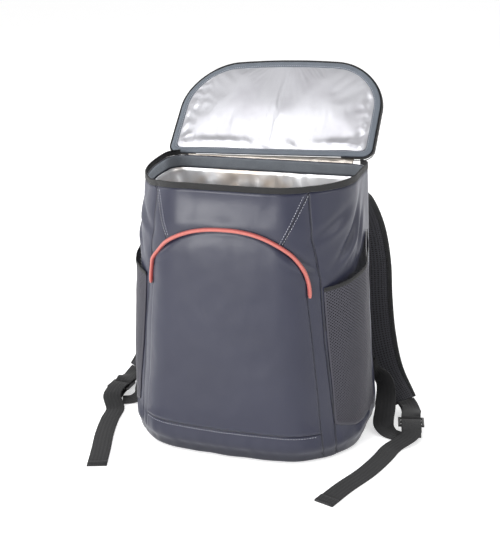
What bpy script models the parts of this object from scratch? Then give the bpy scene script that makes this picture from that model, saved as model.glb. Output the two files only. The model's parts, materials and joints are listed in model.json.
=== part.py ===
"""Backpack cooler: a soft upright cooler bag with padded shoulder straps, lid open.

Metres, +Z up. X runs across the bag, -Y is its front, +Y is the wearer's side.
The origin is the centre of the base, on the floor that the bag stands on.
"""
import math

import bmesh
import bpy
import numpy as np
from mathutils import Matrix, Vector

# Driving dimensions of the body
BODY_HEIGHT = 0.400
BODY_WIDTH = 0.368
BODY_DEPTH = 0.206
SHELL_WALL = 0.002
LINER_WALL = 0.005
LINER_TOP_DROP = 0.018
FACING_WALL = 0.0012
ZIP_HEIGHT = 0.009
ZIP_WALL = 0.0018
SEAM_GAP = 0.0006
SEWN_GAP = 0.0004

# Front pocket with its arched piping
PANEL_WALL = 0.002
PANEL_PUFF = 0.003
PANEL_BOTTOM = 0.1175 * BODY_HEIGHT
ARCH_SPRING = 0.6325 * BODY_HEIGHT
ARCH_RISE = 0.230 * BODY_HEIGHT
ARCH_SQUARENESS = 2.15
PIPING_DIAMETER = 0.0065

# Side mesh pockets
MESH_WALL = 0.0015
MESH_BULGE = 0.011
BINDING_HEIGHT = 0.008
BINDING_WALL = 0.0012

# Lid, open, leaning back and hanging a little to one side; its outline follows the rim
LID_OVERHANG = 0.0047
LID_HINGE_TAKE = 0.028
LID_LEAN = math.radians(48.0)
LID_TILT = math.radians(-1.5)
LID_SHIFT = -0.005
LID_SETBACK = 0.006
LID_RISE = 0.004
LID_TOP_ROUND = 0.083
LID_HINGE_ROUND = 0.017
LID_CROWN = 0.0145
LID_PADDING = 0.0105
LID_PUFF = 0.0075
LID_TAPE_WIDTH = 0.011
LID_TAPE_WALL = 0.0016
LID_ZIP_WALL = 0.0016
HINGE_STRIP_INSET = 0.033
HINGE_STRIP_WALL = 0.002

# Shoulder straps and their webbing
YOKE_HEIGHT = 0.044
YOKE_WALL = 0.003
YOKE_TOP_DROP = 0.006
STRAP_WIDTH = 0.065
STRAP_PADDING = 0.010
STRAP_STANDOFF = 0.080
WEBBING_WIDTH = 0.030
WEBBING_WALL = 0.0016
TAB_WIDTH = 0.032
FLOOR_GAP = 0.0002
BUCKLE_LENGTH = 0.028
BUCKLE_THICKNESS = 0.0036
BUCKLE_BAR = 0.0042
BUCKLE_RIM = 0.004
BUCKLE_PLAY = 0.001
BUCKLE_LIFT = 0.0135

# How finely the round stretches are stepped
FRONT_STEPS = 5
FRONT_CORNER_STEPS = 9
SIDE_STEPS = 3
BACK_CORNER_STEPS = 4
BACK_STEPS = 3
SMOOTH_STEPS = 4

# Columns: height, half_width, front, back, bow, front_round, back_round
# height is a share of BODY_HEIGHT, half_width of BODY_WIDTH, the rest of BODY_DEPTH
BODY_SECTIONS = (
    (0.000, 0.466, 0.500, 0.410, 0.087, 0.440, 0.150),
    (0.010, 0.486, 0.532, 0.436, 0.092, 0.455, 0.165),
    (0.032, 0.499, 0.547, 0.450, 0.097, 0.461, 0.170),
    (0.120, 0.495, 0.541, 0.452, 0.096, 0.461, 0.170),
    (0.300, 0.480, 0.515, 0.459, 0.088, 0.456, 0.165),
    (0.500, 0.465, 0.486, 0.466, 0.080, 0.451, 0.160),
    (0.680, 0.456, 0.466, 0.476, 0.077, 0.447, 0.155),
    (0.850, 0.450, 0.442, 0.486, 0.073, 0.447, 0.148),
    (1.000, 0.441, 0.413, 0.500, 0.068, 0.447, 0.146),
)

# Where things sit on the wall: around is a share of the half girth, from front centre to back
# Columns: height, around
PANEL_EDGE = ((PANEL_BOTTOM, 0.272), (ARCH_SPRING, 0.252))
# Columns: height as a share of BODY_HEIGHT, around
POCKET_FRONT_AROUND = ((0.14, 0.327), (0.66, 0.300))
POCKET_BACK_AROUND = 0.590
# Columns: share of the way from the front seam to the back seam, height share
POCKET_BOTTOM = ((0.0, 0.140), (0.3, 0.105), (1.0, 0.080))
POCKET_TOP = ((0.0, 0.660), (0.5, 0.698), (0.8, 0.735), (1.0, 0.785))
ZIP_END_AROUND = 0.685

# Lid profiles. Columns: inset as a share of half the lid's depth, share of padding or puff
LID_COVER_RINGS = ((0.0, 0.0), (0.0, 0.45), (0.10, 0.78), (0.52, 1.0))
LID_FOIL_RINGS = ((0.0, 0.0), (0.0, 0.18), (0.10, 0.70), (0.42, 1.0))

# Columns: across, behind, up, face_x, face_y, face_z, width
# across is a share of BODY_WIDTH, behind of STRAP_STANDOFF past the yoke's face,
# up of BODY_HEIGHT, width of STRAP_WIDTH
STRAP_ROUTE = (
    (0.300, 0.002, 0.965, 0.00, 1.00, 0.00, 0.92),
    (0.304, 0.016, 0.925, 0.00, 1.00, 0.00, 0.96),
    (0.318, 0.14, 0.882, 0.00, 0.90, 0.40, 1.00),
    (0.340, 0.52, 0.828, 0.05, 0.90, 0.50, 1.00),
    (0.378, 0.85, 0.700, 0.08, 1.00, 0.15, 1.00),
    (0.402, 1.00, 0.550, 0.10, 1.00, 0.00, 1.00),
    (0.415, 0.96, 0.400, 0.12, 1.00, -0.12, 1.00),
    (0.450, 0.72, 0.250, 0.20, 1.00, -0.35, 0.96),
    (0.520, 0.34, 0.115, 0.22, 0.75, -0.70, 0.80),
    (0.612, -0.06, 0.046, 0.10, 0.35, -0.95, 0.58),
)
STRAP_SPLAY = {   # height, and how much farther out the strap hangs there
    1: ((0.0, 0.0), (1.0, 0.0)),
    -1: ((0.046, 0.050), (0.115, 0.087), (0.25, 0.108), (0.40, 0.072), (0.55, 0.035),
         (0.75, 0.008), (1.0, 0.0)),
}

# Columns: out, forward, up, face_x, face_y, face_z, width
# out and forward from the back corner as shares of BODY_DEPTH, up of BODY_HEIGHT,
# width of TAB_WIDTH
TAB_ROUTE = (
    (0.032, 0.005, 0.195, 0.65, 0.58, 0.05, 0.90),
    (0.108, 0.035, 0.148, 0.33, 0.63, -0.36, 0.94),
    (0.152, 0.180, 0.075, 0.00, 0.20, -0.98, 1.00),
    (0.172, 0.304, 0.016, 0.00, 0.00, -1.00, 1.00),
    (0.215, 0.345, 0.006, 0.00, 0.00, -1.00, 0.96),
    (0.290, 0.379, 0.0045, 0.00, 0.00, -1.00, 0.94),
)
TAB_AROUND = 0.660
TAB_TOP = 0.235

# Free ends on the floor. Columns: across as a share of BODY_WIDTH, along of BODY_DEPTH
TAIL_ROUTES = {
    1: ((0.622, -0.17), (0.607, -0.30), (0.570, -0.54), (0.506, -0.82), (0.465, -1.035)),
    -1: ((0.622, -0.14), (0.607, -0.28), (0.570, -0.52), (0.520, -0.77), (0.476, -1.000)),
}
BUCKLE_PLACE = {1: (0.668, 0.165), -1: (-0.672, 0.175)}
BUCKLE_HEADING = {1: math.radians(12.0), -1: math.radians(-2.0)}

COLOURS = {
    "shell": ((0.108, 0.112, 0.145), 0.55),
    "foil": ((0.75, 0.75, 0.76), 0.30),
    "tape": ((0.22, 0.24, 0.28), 0.75),
    "zip": ((0.025, 0.025, 0.028), 0.60),
    "coral": ((0.86, 0.20, 0.15), 0.55),
    "mesh": ((0.060, 0.058, 0.070), 0.85),
    "strap": ((0.030, 0.030, 0.033), 0.80),
    "plastic": ((0.020, 0.020, 0.022), 0.40),
}

COLLECTION = bpy.data.collections.new("backpack_cooler")
SHELL_CACHE = {}


def clear_scene():
    """Remove the objects of the startup scene and link the object's own collection."""
    for item in list(bpy.data.objects):
        bpy.data.objects.remove(item, do_unlink=True)
    bpy.context.scene.collection.children.link(COLLECTION)


def material(key):
    """The plain material of one kind of cloth or plastic."""
    found = bpy.data.materials.get(key)
    if found:
        return found
    colour, roughness = COLOURS[key]
    made = bpy.data.materials.new(key)
    made.use_nodes = True
    shader = made.node_tree.nodes["Principled BSDF"]
    shader.inputs["Base Color"].default_value = (*colour, 1.0)
    shader.inputs["Roughness"].default_value = roughness
    return made


def make_object(name, bm, key):
    """Turn a bmesh into a smooth-shaded object in the collection."""
    mesh = bpy.data.meshes.new(name)
    bm.to_mesh(mesh)
    bm.free()
    mesh.materials.append(material(key))
    mesh.shade_smooth()
    mesh.set_sharp_from_angle(angle=math.radians(35.0))
    item = bpy.data.objects.new(name, mesh)
    COLLECTION.objects.link(item)
    return item


def grid_mesh(rows, wrap=False, cap_first=False):
    """An open surface through equal rows of points, closed along each row if wrap is set."""
    bm = bmesh.new()
    verts = [[bm.verts.new(point) for point in row] for row in rows]
    count = len(rows[0])
    last = count if wrap else count - 1
    for low, high in zip(verts[:-1], verts[1:]):
        for i in range(last):
            j = (i + 1) % count
            bm.faces.new((low[i], low[j], high[j], high[i]))
    if cap_first:
        bm.faces.new(list(reversed(verts[0])))
    return bm


def sheet(name, rows, wall, key, wrap=False, cap_first=False, offset=1.0):
    """Cloth: an open surface thickened along its normals by Solidify."""
    item = make_object(name, grid_mesh(rows, wrap, cap_first), key)
    solidify = item.modifiers.new("cloth", "SOLIDIFY")
    solidify.thickness = wall
    solidify.offset = offset
    solidify.use_even_offset = True
    return item


def loft(name, rings, key):
    """A closed solid through equal rings of points, capped at both ends."""
    bm = grid_mesh(rings, wrap=True, cap_first=True)
    bm.verts.ensure_lookup_table()
    count = len(rings[0])
    bm.faces.new([bm.verts[i] for i in range(len(bm.verts) - count, len(bm.verts))])
    bmesh.ops.recalc_face_normals(bm, faces=bm.faces)
    return make_object(name, bm, key)


def section(level):
    """The sizes of the body's plan at a height share, as lengths."""
    table = np.array(BODY_SECTIONS)
    scales = (BODY_WIDTH, BODY_DEPTH, BODY_DEPTH, BODY_DEPTH, BODY_DEPTH, BODY_DEPTH)
    return [np.interp(level, table[:, 0], table[:, i + 1]) * scale
            for i, scale in enumerate(scales)]


def arc(centre, radius, start, end, steps):
    """Points of an arc in plan, angles in degrees, without its last point."""
    angles = [math.radians(start + (end - start) * i / steps) for i in range(steps)]
    return [(centre[0] + radius * math.cos(a), centre[1] + radius * math.sin(a)) for a in angles]


def half_plan(level, inset=0.0, fine=1):
    """The plan from front centre round the +X side to back centre."""
    half, front, back, bow, front_round, back_round = section(level)
    half, front, back = half - inset, front - inset, back - inset
    front_round, back_round = front_round - inset, back_round - inset
    start = half - front_round
    points = [(start * i / (FRONT_STEPS * fine), -front) for i in range(FRONT_STEPS * fine)]
    points += arc((start, front_round - front), front_round, -90, 0, FRONT_CORNER_STEPS * fine)
    low, high = front_round - front, back - back_round
    steps = SIDE_STEPS * fine
    points += [(half, low + (high - low) * i / steps) for i in range(steps)]
    centre = (half - back_round, high)
    points += arc(centre, back_round, 0, 90, BACK_CORNER_STEPS * fine)
    steps = BACK_STEPS * fine
    points += [(centre[0] * (1 - i / steps), back) for i in range(steps + 1)]
    return [(x, y - bow * max(0.0, -y / front) ** 2 * (1 - (x / half) ** 2)) for x, y in points]


def ring(height, inset=0.0):
    """The whole plan at a height, counter-clockwise seen from above."""
    half = half_plan(height / BODY_HEIGHT, inset)
    mirrored = [(-x, y) for x, y in reversed(half[1:-1])]
    return [(x, y, height) for x, y in half + mirrored]


def wall_curve(level):
    """The half plan as arrays: length along it, points."""
    key = round(level, 5)
    if key not in SHELL_CACHE:
        points = np.array(half_plan(level, fine=4))
        steps = np.linalg.norm(np.diff(points, axis=0), axis=1)
        SHELL_CACHE[key] = (np.concatenate(([0.0], np.cumsum(steps))), points)
    return SHELL_CACHE[key]


def half_girth(height):
    """The length of the half plan at a height."""
    return wall_curve(height / BODY_HEIGHT)[0][-1]


def on_wall(around, height, out):
    """A point at a share of the half girth (negative to -X) and a distance off the wall."""
    lengths, points = wall_curve(height / BODY_HEIGHT)
    at = abs(around) * lengths[-1]
    x, y = np.interp(at, lengths, points[:, 0]), np.interp(at, lengths, points[:, 1])
    span = 0.004
    ahead = [np.interp(min(at + span, lengths[-1]), lengths, points[:, i]) for i in (0, 1)]
    behind = [np.interp(max(at - span, 0.0), lengths, points[:, i]) for i in (0, 1)]
    run = Vector((ahead[0] - behind[0], ahead[1] - behind[1])).normalized()
    if at < span:
        run = Vector((1.0, 0.0))
    x, y = x + run.y * out, y - run.x * out
    return (math.copysign(x, around), y, height)


def back_wall(height):
    """How far back the body's flat back lies at a height."""
    return section(height / BODY_HEIGHT)[2]


def smooth(rows, steps=SMOOTH_STEPS):
    """A smooth curve through the rows of a table, every column alike, without overshoot."""
    rows = np.array(rows, dtype=float)
    spans = np.linalg.norm(np.diff(rows[:, :3], axis=0), axis=1)
    slopes = np.diff(rows, axis=0) / spans[:, None]
    middle = [(slopes[i - 1] * spans[i] + slopes[i] * spans[i - 1]) / (spans[i - 1] + spans[i])
              for i in range(1, len(spans))]
    tangents = [slopes[0], *middle, slopes[-1]]
    out = []
    for i, span in enumerate(spans):
        for t in np.arange(steps) / steps:
            out.append((2 * t ** 3 - 3 * t ** 2 + 1) * rows[i]
                       + (t ** 3 - 2 * t ** 2 + t) * span * tangents[i]
                       + (3 * t ** 2 - 2 * t ** 3) * rows[i + 1]
                       + (t ** 3 - t ** 2) * span * tangents[i + 1])
    out.append(rows[-1])
    return np.array(out)


def flat_section():
    """The corners of a webbing's section, as shares of its half width and half wall."""
    return [(1, -1), (1, 1), (-1, 1), (-1, -1)]


def padded_section(sides=12, squareness=0.5):
    """The rounded section of a padded strap, as shares of its half width and half padding."""
    angles = [2 * math.pi * (i + 0.5) / sides for i in range(sides)]
    return [(math.copysign(abs(math.cos(a)) ** squareness, math.cos(a)),
             math.copysign(abs(math.sin(a)) ** squareness, math.sin(a))) for a in angles]


def band(name, stations, thickness, outline, key):
    """A strap or webbing along stations of x, y, z, face direction and width."""
    points = [Vector(row[:3]) for row in stations]
    rings = []
    for i, row in enumerate(stations):
        run = (points[min(i + 1, len(points) - 1)] - points[max(i - 1, 0)]).normalized()
        face = Vector(row[3:6])
        face = (face - run * face.dot(run)).normalized()
        side = run.cross(face)
        rings.append([points[i] + side * u * row[6] / 2 + face * v * thickness / 2
                      for u, v in outline])
    return loft(name, rings, key)


def build_body():
    """The cup of outer cloth, the foil liner, the inner facing and the zip along the rim."""
    levels = [row[0] * BODY_HEIGHT for row in BODY_SECTIONS]
    rows = [ring(z) for z in levels]
    sheet("outer_shell", rows, SHELL_WALL, "shell", wrap=True, cap_first=True, offset=-1.0)
    inset = SHELL_WALL + SEWN_GAP
    top = BODY_HEIGHT - LINER_TOP_DROP
    loose = inset + SEWN_GAP
    rows = [[(x, y, loose) for x, y, _ in ring(0.0, loose)]]
    rows += [ring(z, loose) for z in levels[2:] if z < top - LINER_WALL] + [ring(top, loose)]
    sheet("foil_liner", rows, LINER_WALL, "foil", wrap=True, cap_first=True, offset=-1.0)
    low, high = top + SEWN_GAP, BODY_HEIGHT - SEWN_GAP
    rows = [ring(z, inset) for z in (low, (low + high) / 2, high)]
    sheet("rim_facing", rows, FACING_WALL, "tape", wrap=True, offset=-1.0)
    rows = []
    for z in (BODY_HEIGHT + SEWN_GAP, BODY_HEIGHT + ZIP_HEIGHT):
        places = np.linspace(-ZIP_END_AROUND, ZIP_END_AROUND, 49)
        rows.append([on_wall(a, BODY_HEIGHT, SEWN_GAP)[:2] + (z,) for a in places])
    sheet("rim_zipper", rows, ZIP_WALL, "zip", offset=-1.0)


def arch_point(turn, grow=0.0):
    """Around share and height of the arch at a turn of -90 to 90 degrees, grown outwards."""
    share = math.sin(math.radians(turn))
    rise = max(0.0, 1 - abs(share) ** ARCH_SQUARENESS) ** (1 / ARCH_SQUARENESS)
    height = ARCH_SPRING + (ARCH_RISE + grow) * rise
    girth = half_girth(height)
    return share * (PANEL_EDGE[1][1] + grow / girth), height


def build_front_pocket():
    """The raised arched panel and the coral piping round its top."""
    columns, levels = 20, 12
    rows = []
    for j in range(levels + 1):
        row = []
        for i in range(columns + 1):
            around, top = arch_point(-90 + 180 * i / columns)
            up = j / levels
            height = PANEL_BOTTOM + (top - PANEL_BOTTOM) * up
            edge = np.interp(height, *zip(*PANEL_EDGE))
            share = around / PANEL_EDGE[1][1]
            puff = PANEL_PUFF * (1 - share ** 6) * (1 - (2 * up - 1) ** 6)
            row.append(on_wall(share * edge or 1e-6, height, SEAM_GAP + puff))
        rows.append(row)
    sheet("front_pocket_panel", rows, PANEL_WALL, "shell")
    radius = PIPING_DIAMETER / 2
    turns = np.linspace(-88, 88, 33)
    points = []
    for turn in turns:
        around, height = arch_point(turn, radius + SEAM_GAP)
        points.append(on_wall(around or 1e-6, height, radius + SEAM_GAP))
    curve = bpy.data.curves.new("arch_piping", "CURVE")
    curve.dimensions = "3D"
    curve.bevel_depth = radius
    curve.bevel_resolution = 2
    curve.use_fill_caps = True
    spline = curve.splines.new("POLY")
    spline.points.add(len(points) - 1)
    for target, point in zip(spline.points, points):
        target.co = (*point, 1.0)
    curve.materials.append(material("coral"))
    COLLECTION.objects.link(bpy.data.objects.new("arch_piping", curve))


def pocket_point(side, across, up, lift=0.0):
    """A point of the mesh pocket: across from its front seam, up from its bottom seam."""
    bottom = np.interp(across, *zip(*POCKET_BOTTOM)) * BODY_HEIGHT
    top = np.interp(across, *zip(*POCKET_TOP)) * BODY_HEIGHT
    height = bottom + (top - bottom) * up
    front = np.interp(height / BODY_HEIGHT, *zip(*POCKET_FRONT_AROUND))
    around = front + (POCKET_BACK_AROUND - front) * across
    swell = max(0.0, math.sin(math.pi * across)) ** 0.7 * (1 - (1 - up) ** 3)
    return on_wall(side * around, height, SEAM_GAP + MESH_BULGE * swell + lift)


def build_side_pocket(side, word):
    """One open mesh pocket, bulging off the side wall, with a bound top edge."""
    across = np.linspace(0.0, 1.0, 13)
    order = across if side > 0 else across[::-1]
    rows = [[pocket_point(side, a, up) for a in order] for up in np.linspace(0.0, 1.0, 8)]
    sheet(f"side_pocket_{word}", rows, MESH_WALL, "mesh")
    lift = MESH_WALL + SEWN_GAP
    tall = BINDING_HEIGHT / ((POCKET_TOP[1][1] - POCKET_BOTTOM[1][1]) * BODY_HEIGHT)
    rows = [[pocket_point(side, a, up, lift) for a in order] for up in (1.0 - tall, 1.0)]
    sheet(f"pocket_binding_{word}", rows, BINDING_WALL, "strap")


def lid_size():
    """Half the lid's width and its depth from hinge to front, from the rim that it closes."""
    half, front, back, bow = section(1.0)[:4]
    return half + LID_OVERHANG, front + bow + back - LID_HINGE_TAKE


def lid_outline(inset=0.0):
    """The lid's outline in its own plane, from the hinge side's middle round by +X."""
    half, depth = lid_size()
    half, top = half - inset, depth - inset
    low_round = max(LID_HINGE_ROUND - inset, LID_HINGE_ROUND / 6)
    top_round = max(LID_TOP_ROUND - inset, LID_TOP_ROUND / 6)
    right = arc((half - low_round, inset + low_round), low_round, -90, 0, 4)
    right.append((half, inset + low_round))
    right += arc((half - top_round, top - top_round), top_round, 0, 90, 8)
    right.append((half - top_round, top))
    right.append(((half - top_round) / 2, top))
    points = right + [(0.0, top)] + [(-x, v) for x, v in reversed(right)]
    return [(x, v + LID_CROWN * (v / depth) ** 2 * (1 - (x / half) ** 2)) for x, v in points]


def place_on_lid(item):
    """Set a piece modelled flat in the lid's plane at the hinge, leaning back."""
    item.location = (LID_SHIFT, back_wall(BODY_HEIGHT) + LID_SETBACK, BODY_HEIGHT + LID_RISE)
    item.rotation_euler = (math.pi / 2 - LID_LEAN, LID_TILT, 0.0)


def build_lid():
    """The padded cover, the puffed foil inside, the tape ring, the edge zip and the hinge."""
    edge = LID_ZIP_WALL + SEWN_GAP
    reach = lid_size()[1] / 2
    rings = [[(x, v, -SEWN_GAP - LID_PADDING * high) for x, v in lid_outline(edge + reach * inset)]
             for inset, high in LID_COVER_RINGS]
    place_on_lid(loft("lid_cover", rings, "shell"))
    inner = edge + LID_TAPE_WIDTH + SEAM_GAP
    rings = [[(x, v, SEWN_GAP + LID_PUFF * high) for x, v in lid_outline(inner + reach * inset)]
             for inset, high in LID_FOIL_RINGS]
    place_on_lid(loft("lid_foil_panel", rings, "foil"))
    crown = LID_TAPE_WALL / 2
    rows = [[(x, v, SEWN_GAP + crown * high) for x, v in lid_outline(edge + LID_TAPE_WIDTH * at)]
            for at, high in ((0.0, 0.0), (0.5, 1.0), (1.0, 0.0))]
    place_on_lid(sheet("lid_edge_tape", rows, LID_TAPE_WALL, "tape", wrap=True))
    low, high = -ZIP_HEIGHT / 2, ZIP_HEIGHT / 2
    rows = [[(x, v, z) for x, v in lid_outline()[1:-1]] for z in (low, high)]
    place_on_lid(sheet("lid_zipper", rows, LID_ZIP_WALL, "zip", offset=-1.0))
    build_hinge_strip()


def build_hinge_strip():
    """The cloth hinge from the top of the back wall to the lid's lower edge."""
    hinge = Vector((0.0, back_wall(BODY_HEIGHT) + LID_SETBACK, BODY_HEIGHT + LID_RISE))
    lean = Vector((0.0, math.sin(LID_LEAN), math.cos(LID_LEAN)))
    inwards = Vector((0.0, -math.cos(LID_LEAN), math.sin(LID_LEAN)))
    foot = Vector((0.0, back_wall(BODY_HEIGHT) - SHELL_WALL / 2, BODY_HEIGHT + SEWN_GAP))
    head = hinge + lean * (LID_ZIP_WALL + SEWN_GAP - SEAM_GAP) - inwards * LID_PADDING * 0.25
    climb = (head - foot).length / 3
    half = lid_size()[0] - HINGE_STRIP_INSET
    tilt = -math.sin(LID_TILT)
    rows = []
    for point, share in ((foot, 0.0), (foot + Vector((0, 0, climb * 0.9)), 0.0),
                         (head - lean * climb * 0.3, 1.0), (head, 1.0)):
        places = np.linspace(-half, half, 7)
        rows.append([(x, point.y, point.z + x * tilt * share) for x in places])
    sheet("lid_hinge_strip", rows, HINGE_STRIP_WALL, "tape", offset=0.0)


def build_yoke():
    """The band across the back that the shoulder straps are sewn to."""
    top = BODY_HEIGHT - YOKE_TOP_DROP
    half = section(1.0)[0] - section(1.0)[5]
    rows = []
    for z in (top, top - YOKE_HEIGHT / 2, top - YOKE_HEIGHT):
        places = np.linspace(-half, half, 5)
        rows.append([(x, back_wall(z) + SEWN_GAP, z) for x in places])
    sheet("strap_yoke", rows, YOKE_WALL, "strap")


def strap_stations(side):
    """The padded strap's route, from the yoke down to its end near the floor."""
    stations = []
    for across, behind, up, *face, width in STRAP_ROUTE:
        across += np.interp(up, *zip(*STRAP_SPLAY[side]))
        seat = back_wall(up * BODY_HEIGHT) + YOKE_WALL + 2 * SEWN_GAP + STRAP_PADDING / 2
        stations.append((side * across * BODY_WIDTH, seat + behind * STRAP_STANDOFF,
                         up * BODY_HEIGHT, side * face[0], face[1], face[2],
                         width * STRAP_WIDTH))
    return smooth(stations, 3)


def buckle_frame(side):
    """The buckle's matrix: X along its bars, Y from the free end to the strap, Z up."""
    across, along = BUCKLE_PLACE[side]
    place = Matrix.Translation((across * BODY_WIDTH, along * BODY_DEPTH, BUCKLE_LIFT))
    return place @ Matrix.Rotation(BUCKLE_HEADING[side], 4, "Z")


def turn_radius():
    """The radius of a webbing's middle where it turns round a bar, clear of its corners."""
    return math.hypot(BUCKLE_BAR, BUCKLE_THICKNESS) / 2 + SEWN_GAP + WEBBING_WALL / 2


def turn_round_bar(centre, direction):
    """Points of a webbing's turn round one bar of the buckle, in the buckle's frame."""
    radius = turn_radius()
    angles = [math.radians(a) for a in (90, 60, 30, 0, -30, -60, -90)]
    return [(0.0, centre - direction * radius * math.cos(a), radius * math.sin(a))
            for a in angles]


def build_buckle(side, word):
    """A ladder lock: a flat frame with two slots, cut out of one box."""
    wide = WEBBING_WIDTH + 2 * (BUCKLE_PLAY + BUCKLE_RIM)
    bm = bmesh.new()
    bmesh.ops.create_cube(bm, size=1.0)
    bmesh.ops.scale(bm, vec=(wide, BUCKLE_LENGTH, BUCKLE_THICKNESS), verts=bm.verts)
    bmesh.ops.bevel(bm, geom=list(bm.edges), offset=0.0008, segments=1, affect="EDGES")
    item = make_object(f"ladder_buckle_{word}", bm, "plastic")
    item.matrix_world = buckle_frame(side)
    slot = (BUCKLE_LENGTH - 3 * BUCKLE_BAR) / 2
    for i, way in enumerate((-1, 1)):
        cut = bmesh.new()
        bmesh.ops.create_cube(cut, size=1.0)
        size = (WEBBING_WIDTH + 2 * BUCKLE_PLAY, slot, BUCKLE_THICKNESS * 3)
        bmesh.ops.scale(cut, vec=size, verts=cut.verts)
        shift = (0.0, way * (slot + BUCKLE_BAR) / 2, 0.0)
        bmesh.ops.translate(cut, vec=shift, verts=cut.verts)
        mesh = bpy.data.meshes.new(f"slot_{word}_{i}")
        cut.to_mesh(mesh)
        cut.free()
        cutter = bpy.data.objects.new(f"slot_{word}_{i}", mesh)
        cutter.matrix_world = buckle_frame(side)
        cutter.hide_render = True
        cutter.display_type = "WIRE"
        CUTTERS.objects.link(cutter)
        boolean = item.modifiers.new(f"slot {i}", "BOOLEAN")
        boolean.operation = "DIFFERENCE"
        boolean.object = cutter


def build_webbing(side, word):
    """The strap's end loop, the free adjuster webbing and the tab at the bag's corner."""
    frame = buckle_frame(side)
    pitch = (BUCKLE_LENGTH - BUCKLE_BAR) / 2
    upright = (0.0, 0.0, 1.0)
    stations = strap_stations(side)
    end, before = Vector(stations[-1][:3]), Vector(stations[-2][:3])
    run = (end - before).normalized()
    side_way = run.cross(Vector((0, 0, 1))).normalized()
    lift = side_way.cross(run).normalized()
    spread = STRAP_PADDING * 0.22
    starts = [end + run * SEAM_GAP * 1.4 + lift * spread * way for way in (1, -1)]
    loop = [tuple(starts[0]), tuple(starts[0] + run * 0.010)]
    faces = [tuple(lift), tuple(lift)]
    for point in turn_round_bar(pitch, 1):
        loop.append(tuple(frame @ Vector(point)))
        angle = Vector((0.0, point[1] - pitch, point[2])).normalized()
        faces.append(tuple((frame.to_3x3() @ angle).normalized()))
    loop += [tuple(starts[1] + run * 0.010), tuple(starts[1])]
    faces += [tuple(-lift), tuple(-lift)]
    rows = [(*p, *f, WEBBING_WIDTH) for p, f in zip(loop, faces)]
    band(f"strap_end_loop_{word}", smooth(rows, 2), WEBBING_WALL, flat_section(), "strap")

    radius = turn_radius()
    under = ((-1.15, -radius - BUCKLE_LIFT * 0.40), (-0.6, -radius - BUCKLE_LIFT * 0.10))
    tail = [tuple(frame @ Vector((0.0, along * BUCKLE_LENGTH, up))) for along, up in under]
    faces = [(0.0, 0.0, -1.0)] * 2
    for point in reversed(turn_round_bar(0.0, -1)):
        tail.append(tuple(frame @ Vector(point)))
        angle = Vector((0.0, point[1], point[2])).normalized()
        faces.append(tuple((frame.to_3x3() @ angle).normalized()))
    for along, up in ((-0.6, radius), (-1.15, radius - BUCKLE_LIFT * 0.35)):
        tail.append(tuple(frame @ Vector((0.0, along * BUCKLE_LENGTH, up))))
        faces.append(upright)
    rest = FLOOR_GAP + WEBBING_WALL / 2
    for across, along in TAIL_ROUTES[side]:
        tail.append((side * across * BODY_WIDTH, along * BODY_DEPTH, rest))
        faces.append(upright)
    rows = [(*p, *f, WEBBING_WIDTH) for p, f in zip(tail, faces)]
    stations = smooth(rows, 3)
    stations[:, 2] = np.maximum(stations[:, 2], rest)
    band(f"webbing_tail_{word}", stations, WEBBING_WALL, flat_section(), "strap")

    corner = on_wall(side * TAB_AROUND, TAB_TOP * BODY_HEIGHT, SEAM_GAP + WEBBING_WALL / 2)
    off_wall = Vector(corner) - Vector(on_wall(side * TAB_AROUND, TAB_TOP * BODY_HEIGHT, 0.0))
    rows = [(*corner, *off_wall.normalized(), TAB_WIDTH * 0.9)]
    for out, forward, up, *face, width in TAB_ROUTE:
        rows.append((corner[0] + side * out * BODY_DEPTH, corner[1] - forward * BODY_DEPTH,
                     up * BODY_HEIGHT, side * face[0], face[1], face[2], width * TAB_WIDTH))
    stations = smooth(rows, 3)
    stations[:, 2] = np.maximum(stations[:, 2], rest)
    band(f"anchor_webbing_{word}", stations, WEBBING_WALL, flat_section(), "strap")


def build_straps():
    """Both shoulder straps with their buckles and webbing."""
    for side, word in ((1, "right"), (-1, "left")):
        band(f"shoulder_strap_{word}", strap_stations(side), STRAP_PADDING,
             padded_section(), "strap")
        build_buckle(side, word)
        build_webbing(side, word)


CUTTERS = bpy.data.collections.new("cutters")
clear_scene()
bpy.context.scene.collection.children.link(CUTTERS)
build_body()
build_front_pocket()
for way, word in ((1, "right"), (-1, "left")):
    build_side_pocket(way, word)
build_lid()
build_yoke()
build_straps()
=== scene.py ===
# %% [markdown]
# A backpack cooler stands open. The frame of the bag comes ready made, at its real size in
# metres, so this lesson only dresses it: every cloth, foil, tape and buckle gets the surface
# that the real one has. The frame is loaded first, because every piece is placed against it.

# %% Load the frame
import json
import math
import bpy
import bmesh
import numpy as np
from mathutils import Matrix, Vector, noise

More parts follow.
